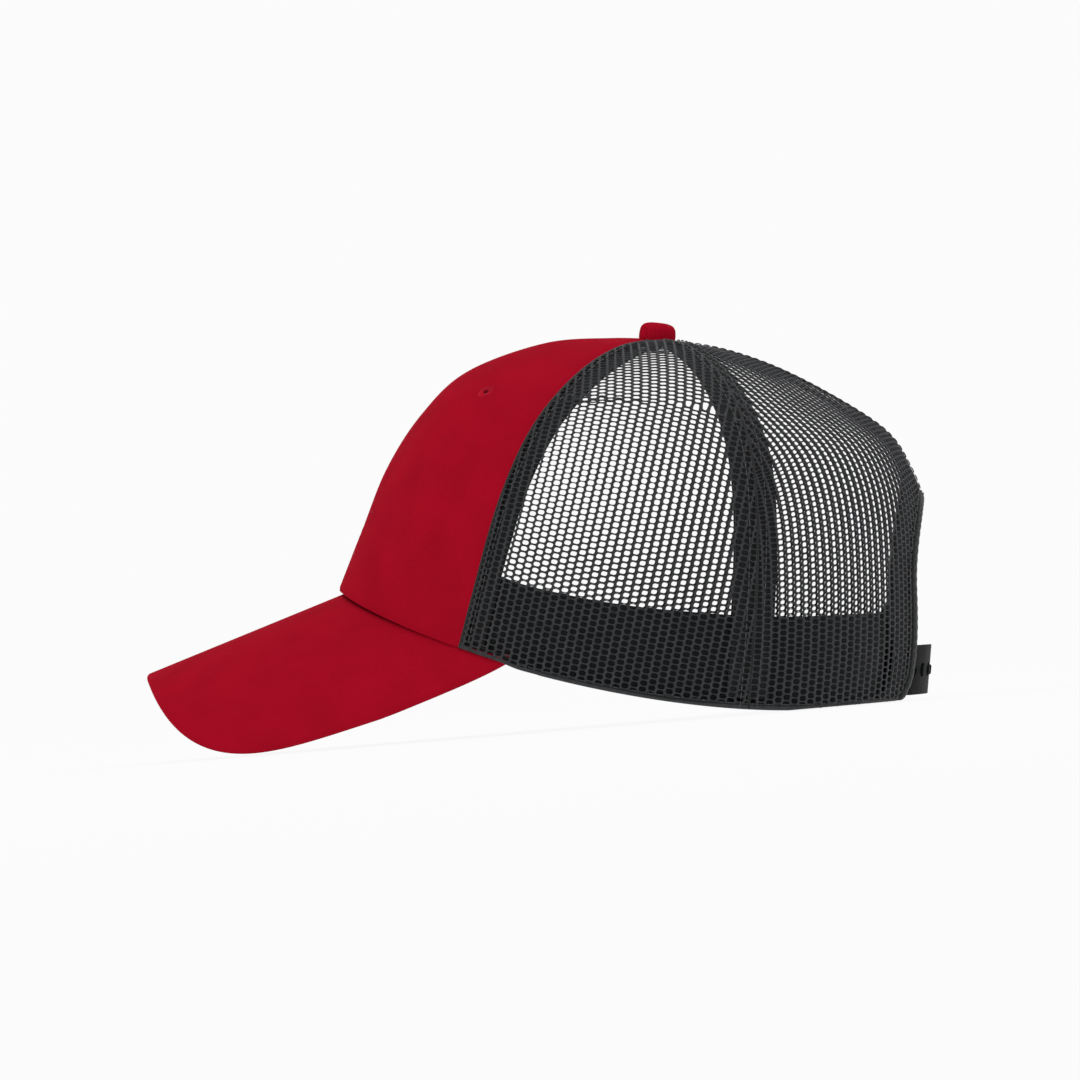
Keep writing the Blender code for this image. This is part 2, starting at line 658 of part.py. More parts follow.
def strap(name, side, depth, holed):
    """A free strap, bent to the arc and hung on its flex axis."""
    face = -depth if holed else -depth - STRAP_THICKNESS
    axis = flex_axis(side, face)
    axis.name = f"{name}_axis"
    bpy.context.view_layer.update()
    to_axis = axis.matrix_world.inverted() @ strap_frame()
    mesh = flat_plate(strap_outline(side, holed))
    for vertex in mesh.vertices:
        outwards = -depth - STRAP_THICKNESS / 2 + vertex.co.z
        vertex.co = to_axis @ on_arc(vertex.co.x, vertex.co.y, outwards)
    work = bmesh.new()
    work.from_mesh(mesh)
    bmesh.ops.recalc_face_normals(work, faces=work.faces)
    work.to_mesh(mesh)
    work.free()
    item = new_object(name, mesh, PLASTIC, roughness=0.35)
    item.parent = axis
    return item


def add_pegs(item, side, depth):
    """Pegs that stand out of the inner strap, joined to it."""
    length = STRAP_LAYER_GAP + STRAP_THICKNESS + PEG_PROUD + STRAP_THICKNESS / 2
    for number, middle in enumerate(snap_places()):
        run = side * middle
        work = bmesh.new()
        bmesh.ops.create_cone(
            work, cap_ends=True, segments=12, radius1=PEG_RADIUS, radius2=PEG_RADIUS * 0.94, depth=length)
        mesh = bpy.data.meshes.new(f"peg_{number}")
        work.to_mesh(mesh)
        work.free()
        peg = new_cutter(f"peg_{number}", mesh)
        place = on_arc(run, STRAP_HEIGHT / 2, -depth - STRAP_THICKNESS / 2 + length / 2)
        outwards = Matrix.Rotation(-run / STRAP_RADIUS, 4, "Z") @ Matrix.Rotation(-math.pi / 2, 4, "X")
        peg.matrix_world = strap_frame() @ Matrix.Translation(place) @ outwards
        cut(item, peg, "UNION")


def strap_root(name, side, depth):
    """The sewn end of a strap, between the mesh and the sweatband."""
    first = STRAP_FLEX + FLEX_GAP / 2 + 0.0006

    def surface(u, v):
        share = (STRAP_FOOT_Z + 0.0004 + v * (STRAP_HEIGHT - 0.0004)) / REAR[2]
        run = first + u * ROOT_LENGTH
        angle = rear_angle(run, share)
        return layer(side * angle, share, np.full_like(share, depth))
    sheet(name, 4, 3, surface, STRAP_THICKNESS, PLASTIC, out_of_crown, roughness=0.35)


def straps():
    inner_depth = STRAP_THICKNESS + STRAP_LAYER_GAP
    strap("hole_strap", 1, 0.0, holed=True)
    pegs = strap("peg_strap", -1, inner_depth, holed=False)
    add_pegs(pegs, -1, inner_depth)
    strap_root("hole_strap_root", 1, ROOT_DEPTH)
    strap_root("peg_strap_root", -1, ROOT_DEPTH + 0.0004)


def new_collection(name):
    collection = bpy.data.collections.new(name)
    bpy.context.scene.collection.children.link(collection)
    return collection


for old in list(bpy.data.objects):
    bpy.data.objects.remove(old)
CAP = new_collection("trucker_mesh_cap")
CUTTERS = new_collection("cutters")
panels()
tapes()
sweatband()
arch_binding()
visor()
button()
straps()
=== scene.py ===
"""The looks of a trucker mesh cap: twill, knitted mesh, tapes, stitches and moulded straps.

Units are metres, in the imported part's frame: +Z up, visor along -Y, +X the wearer's left. The crown
is addressed as in the part, by an angle round the button and a share of the way up from the rim.
"""

import math

import bmesh
import bpy
import numpy as np
from mathutils import Matrix, Vector


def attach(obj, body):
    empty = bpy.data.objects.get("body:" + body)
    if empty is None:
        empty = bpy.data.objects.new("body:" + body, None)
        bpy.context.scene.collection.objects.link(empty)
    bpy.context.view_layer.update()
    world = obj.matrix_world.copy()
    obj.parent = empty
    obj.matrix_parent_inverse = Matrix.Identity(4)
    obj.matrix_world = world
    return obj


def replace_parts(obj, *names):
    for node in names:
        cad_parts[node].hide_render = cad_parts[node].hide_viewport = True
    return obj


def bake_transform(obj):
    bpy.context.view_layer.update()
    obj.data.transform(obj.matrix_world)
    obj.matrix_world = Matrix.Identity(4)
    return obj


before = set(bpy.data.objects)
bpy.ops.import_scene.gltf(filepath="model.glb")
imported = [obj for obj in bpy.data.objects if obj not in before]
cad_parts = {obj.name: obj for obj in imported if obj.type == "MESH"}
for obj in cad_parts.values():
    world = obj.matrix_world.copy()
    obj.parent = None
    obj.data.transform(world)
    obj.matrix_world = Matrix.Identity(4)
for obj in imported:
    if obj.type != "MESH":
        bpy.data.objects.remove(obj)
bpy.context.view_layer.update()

# Crown, as in the part.
ORIGIN_SHIFT = 0.0288
BUTTON_AXIS_Y = 0.0210 + ORIGIN_SHIFT
BUTTON_HEIGHT = 0.1330
HALF_WIDTH = 0.0820
FRONT_PROFILE = (
    (0.1182, 0.0522), (0.1079, 0.0739), (0.0976, 0.0947), (0.0842, 0.1128),
    (0.0672, 0.1267), (0.0391, 0.1347), (0.0150, 0.1345), (0.0, BUTTON_HEIGHT),
)
SIDE_PROFILE = (
    (HALF_WIDTH, 0.0053), (0.0836, 0.0260), (0.0838, 0.0500), (0.0815, 0.0720), (0.0750, 0.0920),
    (0.0630, 0.1090), (0.0450, 0.1225), (0.0230, 0.1310), (0.0, BUTTON_HEIGHT),
)
REAR_PROFILE = (
    (0.0823, 0.0), (0.0865, 0.0200), (0.0882, 0.0430), (0.0882, 0.0660), (0.0846, 0.0810),
    (0.0755, 0.0962), (0.0493, 0.1151), (0.0250, 0.1268), (0.0, BUTTON_HEIGHT),
)
FRONT_SQUARENESS = 2.33
REAR_SQUARENESS = 2.1
REAR_FACET = 0.085
REAR_FACET_POWER = 2.2
REAR_FACET_SPAN = (0.44, 0.66)
RIM_FLAT_FROM_Y = 0.0704 + ORIGIN_SHIFT
RIM_RISE = 0.0063
RIM_POWER = 1.75
RIM_SINK = 0.0006
RIM_CORNER_Y = -0.0360 + ORIGIN_SHIFT
RIM_CORNER_RUN = 0.0085
PROFILE_SAMPLES = 401
FRONT_SEAM = (0.0, 0.0)
FRONT_SIDE_SEAM = (52.0, 18.0)
SIDE_REAR_SEAM = (103.5, 11.5)
BACK_SEAM = (180.0, 0.0)
APEX_SHARE = 0.975
SEAM_FOOT_SHARE = 0.02
TAPE_TOP_SHARE = 0.93
STITCH_TOP_SHARE = 0.94

# Visor and back opening, as in the part.
ARCH_RADIUS = 0.0310
ARCH_SPRING = 0.0385
ARCH_FLARE = 0.0070
ARCH_FLARE_HEIGHT = 0.0110
VISOR_RADIUS = 0.0820
VISOR_SLOPE = math.radians(17.5)
VISOR_RIDGE_Y = -0.0975 + ORIGIN_SHIFT
VISOR_RIDGE_Z = 0.05252
VISOR_HALF_WIDTH = 0.0895
VISOR_REACH = 0.0726
VISOR_TAIL = 0.0810
VISOR_SQUARENESS = 4.5
VISOR_TAPER = 0.0695
VISOR_CORNER = math.radians(107.5)
CROWN_CORNER = math.radians(59.5)
VISOR_CROWN_GAP = 0.0021
VISOR_UNDERLAP = 0.0022
VISOR_THICKNESS = 0.0037

# Straps, as in the part.
STRAP_RADIUS = 0.0700
STRAP_LEAN = math.radians(9.4)
STRAP_FOOT_Y = 0.1047 + ORIGIN_SHIFT
STRAP_FOOT_Z = 0.0016
STRAP_HEIGHT = 0.0172
STRAP_THICKNESS = 0.0010
STRAP_LAYER_GAP = 0.0004
STRAP_FLEX = 0.0315
STRAP_TIP = 0.0245
STRAP_TIP_RADIUS = 0.0065
SNAP_PITCH = 0.0095
SNAP_FIRST, SNAP_LAST = -2, 3
HOLE_RADIUS = 0.0025
PEG_RADIUS = 0.0018
ROOT_LENGTH = 0.0160

# Cloth. Depths are below the crown's outer face.
CLOTH = 0.0008
SEAM_VALLEY = 0.0007
SEAM_VALLEY_WIDTH = 0.0016
NEEDLE_OFFSET = 0.0030
KNIT_PITCH_ACROSS = 0.0031
KNIT_PITCH_ALONG = 0.0022
KNIT_HOLE = (0.00125, 0.00096)
KNIT_DEPTH = 0.0003
KNIT_THICKNESS = 0.00034
KNIT_RELIEF = 0.00010
KNIT_FOOT_SHARE = 0.0045
KNIT_UNDER_BINDING = 0.0012
PANEL_MARGIN = 0.00035
HEM_FOLD = ((0.0, 0.0009), (0.0001, 0.0004), (0.0005, 0.00012), (0.0013, 0.00012), (0.0016, 0.0003))
STITCH_RADIUS = 0.00020
STITCH_RISE = 0.00014
STITCH_LENGTH = 0.80
SEAM_STITCH = 0.0030
BEAD_RADIUS = 0.0006
BEAD_DEPTH = 0.0007
TAPE_WIDTH = 0.0150
TAPE_DEPTH = 0.0017
FRONT_TAPE_DEPTH = 0.0026
TAPE_THICKNESS = 0.0006
BUCKRAM_DEPTH = 0.0014
BAND_DEPTH = 0.0043
BAND_HEIGHT = 0.0310
BAND_THICKNESS = 0.0011
BINDING_WIDTH = 0.0040
BINDING_HALF = 0.0009
BINDING_MIDDLE = 0.0004
ARCH_FACING = 0.0122
ARCH_FACING_FLARE = 0.0060

RED = (0.38, 0.004, 0.017)
PLASTIC = (0.0040, 0.0043, 0.0052)


def spline(points, per_span=24):
    """A smooth curve through every point."""
    p = np.array(points, float)
    p = np.vstack([2 * p[0] - p[1], p, 2 * p[-1] - p[-2]])
    s = np.linspace(0, 1, per_span, endpoint=False)[:, None]
    spans = []
    for a, b, c, d in zip(p, p[1:], p[2:], p[3:]):
        cubic = (3 * b - a - 3 * c + d) * s**3
        spans.append(0.5 * (2 * b + (c - a) * s + (2 * a - 5 * b + 4 * c - d) * s**2 + cubic))
    return np.vstack(spans + [p[-2:-1]])


def run_along(line):
    """How far along a curve each of its points is."""
    return np.concatenate([[0], np.cumsum(np.linalg.norm(np.diff(line, axis=0), axis=1))])


def at_run(wanted, run, values):
    """Each column of values at the wanted distances."""
    return np.stack([np.interp(wanted, run, column) for column in values.T], 1)


def by_length(line, count):
    """The same curve with evenly spaced points, and its length."""
    run = run_along(line)
    return at_run(np.linspace(0, run[-1], count), run, line), run[-1]


def unit_profile(points):
    line, length = by_length(spline(points), PROFILE_SAMPLES)
    radius = line[:, 0] / line[0, 0]
    height = (line[:, 1] - line[0, 1]) / (line[-1, 1] - line[0, 1])
    return radius, height, length


SHARES = np.linspace(0, 1, PROFILE_SAMPLES)
FRONT, SIDE, REAR = (unit_profile(p) for p in (FRONT_PROFILE, SIDE_PROFILE, REAR_PROFILE))
CREST_SHARE = (ARCH_SPRING + ARCH_RADIUS + BINDING_WIDTH) / REAR[2]
INSIDE = Vector((0, BUTTON_AXIS_Y, 0.03))


def visor_place(x, y, radius):
    turn = np.arcsin(np.clip(x / radius, -0.98, 0.98))
    drop = VISOR_RADIUS - radius * np.cos(turn)
    along = (VISOR_RIDGE_Y + drop * math.sin(VISOR_SLOPE) - y) / math.cos(VISOR_SLOPE)
    return turn, drop, along


def ease(x):
    """Smooth from 0 to 1."""
    return x * x * (3 - 2 * x)


def signed_power(value, power):
    return np.sign(value) * np.abs(value) ** power


def rim_height(x, y):
    ahead = np.maximum(0, RIM_FLAT_FROM_Y - y) * 1000
    bare = RIM_RISE * ahead**RIM_POWER / 1000 - RIM_SINK
    _, drop, along = visor_place(x, y, VISOR_RADIUS)
    top = VISOR_RIDGE_Z - along * math.sin(VISOR_SLOPE) - drop * math.cos(VISOR_SLOPE)
    over = ease(np.clip((RIM_CORNER_Y - y) / RIM_CORNER_RUN, 0, 1))
    return bare + over * (top + VISOR_CROWN_GAP - bare)


def seam_angle(seam, share):
    base, drift = seam
    return np.radians(base + drift * np.sin(np.pi / 2 * share))


def rear_facet(angle, share):
    """How much a rear panel is drawn in between its seams above the opening, leaving a ridge."""
    start = seam_angle(SIDE_REAR_SEAM, share)
    turn = np.abs((np.asarray(angle) + np.pi) % (2 * np.pi) - np.pi)
    place = np.clip((turn - start) / (np.pi - start), 0, 1)
    low, high = REAR_FACET_SPAN
    height = ease(np.clip((share - low) / (high - low), 0, 1))
    return REAR_FACET * height * (1 - np.abs(2 * place - 1) ** REAR_FACET_POWER)


def crown(angle, share):
    """Points of the crown's outer face."""
    angle, share = np.broadcast_arrays(np.asarray(angle, float), np.asarray(share, float))
    c, s = np.cos(angle), np.sin(angle)
    power = np.where(c > 0, 2 / FRONT_SQUARENESS, 2 / REAR_SQUARENESS)
    reach = np.where(c > 0, -FRONT_PROFILE[0][0], REAR_PROFILE[0][0]) * np.abs(c) ** power
    across = HALF_WIDTH * signed_power(s, power)
    front, rear = np.clip(c, 0, 1) ** 2, np.clip(-c, 0, 1) ** 2
    parts = ((front, FRONT), (1 - front - rear, SIDE), (rear, REAR))
    radius, height = (sum(weight * np.interp(share, SHARES, part[k]) for weight, part in parts)
                      for k in (0, 1))
    rim = rim_height(across, BUTTON_AXIS_Y + reach)
    radius = radius * (1 - rear_facet(angle, share))
    y = BUTTON_AXIS_Y + reach * radius
    return np.stack([across * radius, y, rim + (BUTTON_HEIGHT - rim) * height], -1)


def outwards(angle, share):
    """The crown's outward unit normal."""
    step = 1e-3
    around = crown(angle + step, share) - crown(angle - step, share)
    low = np.clip(np.asarray(share) - step, 0, 1)
    upwards = crown(angle, np.clip(low + 2 * step, 0, 1)) - crown(angle, low)
    normal = np.cross(around, upwards)
    return normal / np.maximum(np.linalg.norm(normal, axis=-1, keepdims=True), 1e-12)


def layer(angle, share, depth):
    """Points at a depth below the crown's outer face."""
    return crown(angle, share) - outwards(angle, share) * np.asarray(depth)[..., None]


def arc_per_angle(angle, share):
    step = 1e-3
    chord = crown(angle + step, share) - crown(angle - step, share)
    return np.linalg.norm(chord, axis=-1) / (2 * step)


def from_middle(half_width, share, profile, squareness):
    """The angle from the middle plane to a place that is half_width to one side of it."""
    radius = np.interp(share, SHARES, profile[0])
    ratio = np.clip(np.asarray(half_width) / (HALF_WIDTH * radius), 0, 1)
    return np.arcsin(ratio ** (squareness / 2))


def front_angle(half_width, share):
    return from_middle(half_width, share, FRONT, FRONT_SQUARENESS)


def rear_angle(half_width, share):
    return np.pi - from_middle(half_width, share, REAR, REAR_SQUARENESS)


TURNS = np.linspace(0, np.pi, 6001)
ROUND = run_along(crown(TURNS, 0.0))


def sideways(angle, share, distance):
    """The angle found by going a distance round the crown, level with a place on it."""
    start = np.interp(angle, TURNS, ROUND)
    step = 0.002
    ahead = crown(np.interp(start + step, ROUND, TURNS), share)
    behind = crown(np.interp(start - step, ROUND, TURNS), share)
    scale = np.linalg.norm(ahead - behind, axis=-1) / (2 * step)
    return np.interp(start + distance / scale, ROUND, TURNS)


def arch_flare(height):
    """How far the back opening's edge turns outwards at its foot."""
    return ARCH_FLARE * np.clip(1 - np.asarray(height) / ARCH_FLARE_HEIGHT, 0, 1) ** 2


# Materials.

def put(shader, values):
    """Sets a node's inputs."""
    for key, value in values.items():
        shader.inputs[key].default_value = value


def node(tree, kind, inputs=None, **values):
    made = tree.nodes.new(kind)
    for key, value in values.items():
        setattr(made, key, value)
    put(made, inputs or {})
    return made


def principled(name, colour, roughness, sheen=0.0, specular=0.5, tint=(1, 1, 1)):
    material = bpy.data.materials.new(name)
    material.use_nodes = True
    tree = material.node_tree
    shader = tree.nodes["Principled BSDF"]
    put(shader, {"Base Color": (*colour, 1), "Roughness": roughness, "Specular IOR Level": specular,
                 "Sheen Weight": sheen, "Sheen Roughness": 0.5, "Sheen Tint": (*tint, 1)})
    material.diffuse_color = (*colour, 1)
    return material, tree, shader


def noise_node(tree, scale, detail):
    place = node(tree, "ShaderNodeTexCoord")
    noise = node(tree, "ShaderNodeTexNoise", {"Scale": scale, "Detail": detail})
    tree.links.new(place.outputs["Object"], noise.inputs["Vector"])
    return noise


def bump_node(tree, shader, height, strength, distance):
    bump = node(tree, "ShaderNodeBump", {"Strength": strength, "Distance": distance})
    tree.links.new(height, bump.inputs["Height"])
    tree.links.new(bump.outputs["Normal"], shader.inputs["Normal"])


def vary_colour(tree, shader, colour, scale, low, high):
    """Slight, broad variation of a cloth's colour."""
    noise = noise_node(tree, scale, 4)
    ramp = node(tree, "ShaderNodeValToRGB")
    ramp.color_ramp.elements[0].position = 0.3
    ramp.color_ramp.elements[1].position = 0.7
    ramp.color_ramp.elements[0].color = (*(low * c for c in colour), 1)
    ramp.color_ramp.elements[1].color = (*(high * c for c in colour), 1)
    tree.links.new(noise.outputs["Fac"], ramp.inputs["Fac"])
    tree.links.new(ramp.outputs["Color"], shader.inputs["Base Color"])
    return ramp


def weave(name, colour, pitch, turns, roughness, sheen, depth, low=0.93, high=1.06, tint=(1, 1, 1)):
    """Woven cloth: one or two sets of fine ribs, laid by the cloth's own UV map in metres, with painted
    shade that darkens the colour in the grooves between the ribs.
    """
    material, tree, shader = principled(name, colour, roughness, sheen, 0.01, tint)
    ramp = vary_colour(tree, shader, colour, 70, low, high)
    place = node(tree, "ShaderNodeUVMap", uv_map="cloth")
    height = None
    for turn in turns:
        mapping = node(tree, "ShaderNodeMapping", {"Rotation": (0, 0, math.radians(turn))})
        ribs = {"Scale": 0.314 / pitch, "Distortion": 0.6, "Detail": 2, "Detail Scale": 2}
        wave = node(tree, "ShaderNodeTexWave", ribs, wave_type="BANDS", bands_direction="X")
        tree.links.new(place.outputs["UV"], mapping.inputs["Vector"])
        tree.links.new(mapping.outputs["Vector"], wave.inputs["Vector"])
        if height is None:
            height = wave.outputs["Fac"]
        else:
            join = node(tree, "ShaderNodeMath", operation="MULTIPLY")
            tree.links.new(height, join.inputs[0])
            tree.links.new(wave.outputs["Fac"], join.inputs[1])
            height = join.outputs["Value"]
    bump_node(tree, shader, height, 0.5, depth)
    # Painted shade: the colour is multiplied down by up to 22% in the grooves between the ribs, where the
    # bump's height is low.
    painted_groove_shade = node(tree, "ShaderNodeMix", data_type="RGBA", blend_type="MULTIPLY")
    painted_groove_shade.inputs["Factor"].default_value = 0.22
    tree.links.new(ramp.outputs["Color"], painted_groove_shade.inputs["A"])
    tree.links.new(height, painted_groove_shade.inputs["B"])
    tree.links.new(painted_groove_shade.outputs["Result"], shader.inputs["Base Color"])
    return material


def yarn(name, colour, roughness, sheen, scale):
    """Thread or knitted yarn: a fibrous bump and a little variation."""
    material, tree, shader = principled(name, colour, roughness, sheen, 0.08)
    vary_colour(tree, shader, colour, 400, 0.8, 1.25)
    bump_node(tree, shader, noise_node(tree, scale, 3).outputs["Fac"], 0.45, 0.0001)
    return material


def moulding(name, colour, roughness):
    """Smooth plastic with faint unevenness."""
    material, tree, shader = principled(name, colour, roughness, 0.0, 0.03)
    noise = noise_node(tree, 260, 2).outputs["Fac"]
    bump_node(tree, shader, noise, 0.12, 0.0001)
    rough = node(tree, "ShaderNodeMapRange", {"To Min": roughness - 0.06, "To Max": roughness + 0.10})
    tree.links.new(noise, rough.inputs["Value"])
    tree.links.new(rough.outputs["Result"], shader.inputs["Roughness"])
    return material


# Each woven cloth below carries painted shade in the grooves of its weave.
TWILL = weave("red_twill", RED, 0.00055, (52,), 0.95, 0.02, 0.00012, tint=(1.0, 0.06, 0.12))
TAPE = weave("seam_tape", (0.026, 0.027, 0.028), 0.0007, (90,), 0.85, 0.2, 0.00012)
BINDING = weave("binding_tape", (0.020, 0.021, 0.022), 0.0006, (0,), 0.7, 0.2, 0.00008)
COTTON = weave("sweatband_cloth", (0.016, 0.017, 0.018), 0.0006, (48,), 0.9, 0.25, 0.00012)
BUCKRAM = weave("buckram_weave", (0.62, 0.60, 0.56), 0.0011, (0, 90), 0.9, 0.1, 0.0003, 0.9, 1.0)
KNIT = yarn("black_knit", (0.033, 0.034, 0.037), 0.7, 0.12, 2600)
THREAD = yarn("black_thread", (0.050, 0.051, 0.054), 0.6, 0.2, 5000)
RED_THREAD = yarn("red_thread", (0.34, 0.004, 0.017), 0.9, 0.0, 5000)
STRAP_PLASTIC = moulding("strap_plastic", PLASTIC, 0.5)
METAL = bpy.data.materials.new("rivet_metal")


# Meshes.

def add_object(name, data):
    item = bpy.data.objects.new(name, data)
    bpy.context.scene.collection.objects.link(item)
    return item


def new_piece(name, mesh, material, body="cap", sharp=50):
    mesh.materials.clear()
    mesh.materials.append(material)
    mesh.shade_smooth()
    mesh.set_sharp_from_angle(angle=math.radians(sharp))
    item = add_object(name, mesh)
    if body:
        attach(item, body)
    return item


def mesh_from(name, points, faces, uv=None):
    mesh = bpy.data.meshes.new(name)
    mesh.from_pydata(np.asarray(points).tolist(), [], faces)
    if uv is not None:
        layer_uv = mesh.uv_layers.new(name="cloth")
        corner = np.zeros(len(mesh.loops), np.int32)
        mesh.loops.foreach_get("vertex_index", corner)
        layer_uv.data.foreach_set("uv", np.asarray(uv, np.float32)[corner].ravel())
    mesh.validate()
    return mesh


def face_out(mesh, away_from):
    """Turns every face to the side that faces away from a point."""
    work = bmesh.new()
    work.from_mesh(mesh)
    work.normal_update()
    facing = sum(f.normal.dot(f.calc_center_median() - away_from) * f.calc_area() for f in work.faces)
    if facing < 0:
        bmesh.ops.reverse_faces(work, faces=work.faces)
        work.to_mesh(mesh)
    work.free()


def grid_faces(columns, rows, wrap=False, close=False):
    """Faces of a grid of points, which can wrap round its columns and close onto its first row."""
    across = columns if wrap else columns + 1
    faces = []
    for j in range(rows):
        above = 0 if close and j == rows - 1 else j + 1
        for i in range(columns):
            k = (i + 1) % across
            faces.append((j * across + i, j * across + k, above * across + k, above * across + i))
    return faces


def tube_faces(sides, stations):
    """Faces of a tube of points with closed ends."""
    last = sides * stations - 1
    ends = [tuple(range(sides)), tuple(range(last, last - sides, -1))]
    return grid_faces(sides, stations - 1, wrap=True) + ends


def thicken(item, thickness):
    solidify = item.modifiers.new("thickness", "SOLIDIFY")
    solidify.thickness = thickness
    solidify.offset = -1.0
    return item


def cloth(name, columns, rows, surface, thickness, material):
    """A sheet laid on surface(u, v) -> points, uv in metres."""
    v, u = np.meshgrid(np.linspace(0, 1, rows + 1), np.linspace(0, 1, columns + 1), indexing="ij")
    points, uv = surface(u.ravel(), v.ravel())
    mesh = mesh_from(name, points, grid_faces(columns, rows), uv)
    face_out(mesh, INSIDE)
    return thicken(new_piece(name, mesh, material), thickness)


def bell(distance, width):
    return np.exp(-((distance / width) ** 2))


def ripple(angle, share):
    """Very slight unevenness of cloth on the crown."""
    wave = np.sin(angle * 9 + 5 * share) * np.sin(share * 11 + 1.3) + 0.6 * np.sin(angle * 17 - 8 * share)
    return 0.00012 * wave * np.clip(1 - share, 0, 1)


# Front panels.

def front_panel(side, hand):
    def surface(u, v):
        share = APEX_SHARE * v
        start = front_angle(0.0001, share)
        end = seam_angle(FRONT_SIDE_SEAM, share)
        arc = arc_per_angle((start + end) / 2, share)
        angle = start + (end - start) * u
        from_start, from_end = (angle - start) * arc, (end - angle) * arc
        near = np.minimum(from_start, from_end)
        depth = SEAM_VALLEY * bell(near, SEAM_VALLEY_WIDTH) + ripple(side * angle, share)
        depth = depth + 0.00022 * bell(from_start - NEEDLE_OFFSET, 0.0007)
        depth = depth + 0.0004 * bell(share * FRONT[2], 0.0006)
        points = layer(side * angle, share, depth)
        return points, np.stack([angle * arc, share * FRONT[2]], 1)
    panel = cloth(f"front_cloth_{hand}", 72, 110, surface, CLOTH, TWILL)
    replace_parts(panel, f"front_panel_{hand}")
    drill_eyelet(panel, side)


def buckram(side, hand):
    def surface(u, v):
        share = 0.03 + 0.79 * v
        start = front_angle(0.0060, share)
        end = seam_angle(FRONT_SIDE_SEAM, share)
        arc = arc_per_angle((start + end) / 2, share)
        end = end - 0.0060 / arc
        angle = start + (end - start) * u
        points = layer(side * angle, share, np.full_like(share, BUCKRAM_DEPTH))
        return points, np.stack([angle * arc, share * FRONT[2]], 1)
    lining = cloth(f"front_lining_{hand}", 30, 50, surface, 0.0007, BUCKRAM)
    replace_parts(lining, f"buckram_{hand}")
    drill_eyelet(lining, side)


EYELET_ANGLE = math.radians(43.5)
EYELET_SHARE = 0.58
EYELET_HOLE = 0.0009
EYELET_RING = 0.0011


def frame_at(angle, share):
    place = Vector(crown(angle, share))
    turn = Vector(outwards(angle, share)).to_track_quat("Z", "Y").to_matrix().to_4x4()
    return Matrix.Translation(place) @ turn


def drill_eyelet(item, side):
    drill = bpy.data.meshes.new("eyelet_drill")
    work = bmesh.new()
    radius = EYELET_HOLE + EYELET_RING * 0.7
    bmesh.ops.create_cone(work, cap_ends=True, segments=32, radius1=radius, radius2=radius, depth=0.02)
    bmesh.ops.transform(work, matrix=frame_at(side * EYELET_ANGLE, EYELET_SHARE), verts=work.verts)
    work.to_mesh(drill)
    work.free()
    cutter = add_object("eyelet_drill", drill)
    boolean = item.modifiers.new("eyelet", "BOOLEAN")
    boolean.object = cutter
    boolean.operation = "DIFFERENCE"
    boolean.solver = "EXACT"
    bake_modifiers(item)
    bpy.data.objects.remove(cutter)


def bake_modifiers(item):
    bpy.context.view_layer.update()
    evaluated = item.evaluated_get(bpy.context.evaluated_depsgraph_get())
    mesh = bpy.data.meshes.new_from_object(evaluated)
    item.modifiers.clear()
    item.data = mesh
    mesh.shade_smooth()
    mesh.set_sharp_from_angle(angle=math.radians(50))


def eyelet(side, hand):
    """An embroidered ring: radial stitches over a rolled edge."""
    stitches, per, rings = 38, 6, 16
    turn = np.linspace(0, 2 * np.pi, stitches * per, endpoint=False)
    around = np.linspace(0, 2 * np.pi, rings, endpoint=False)
    around, turn = np.meshgrid(around, turn, indexing="ij")
    ridge = 1 + 0.13 * np.abs(np.cos(turn * stitches / 2))
    wobble = 1 + 0.03 * np.sin(turn * 7) + 0.02 * np.sin(turn * 11 + 1)
    middle = EYELET_HOLE + EYELET_RING
    radius = middle + EYELET_RING * ridge * wobble * np.cos(around)
    height = -0.0003 + 0.00050 * ridge * np.sin(around)
    points = np.stack([radius * np.cos(turn), radius * np.sin(turn), height], -1).reshape(-1, 3)
    faces = grid_faces(stitches * per, rings, wrap=True, close=True)
    mesh = mesh_from(f"eyelet_stitching_{hand}", points, faces)
    mesh.transform(frame_at(side * EYELET_ANGLE, EYELET_SHARE))
    recalculate(mesh)
    ring = new_piece(f"eyelet_stitching_{hand}", mesh, RED_THREAD, sharp=80)
    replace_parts(ring, f"eyelet_{hand}")


def recalculate(mesh):
    work = bmesh.new()
    work.from_mesh(mesh)
    bmesh.ops.recalc_face_normals(work, faces=work.faces)
    work.to_mesh(mesh)
    work.free()


# Knitted mesh.

def knit_cell():
    """One cell of the knit: points of its outer hexagon and, matching them, of its hole."""
    p, q = KNIT_PITCH_ACROSS, KNIT_PITCH_ALONG
    low = p / 2 - q * q / (8 * p)
    high = p / 2 + q * q / (8 * p)
    upper = [(high, 0), ((high + low) / 2, q / 4), (low, q / 2), (low * 0.42, q / 2), (-low * 0.42, q / 2),
             (-low, q / 2), (-(high + low) / 2, q / 4)]
    outer = np.array(upper + [(-x, -y) for x, y in upper])
    turn = np.arctan2(outer[:, 1] / q, outer[:, 0] / p)
    c, s = np.cos(turn), np.sin(turn)
    power = 2 / 2.6
    hole = np.stack([KNIT_HOLE[0] * signed_power(c, power), KNIT_HOLE[1] * signed_power(s, power)], 1)
    return outer, hole


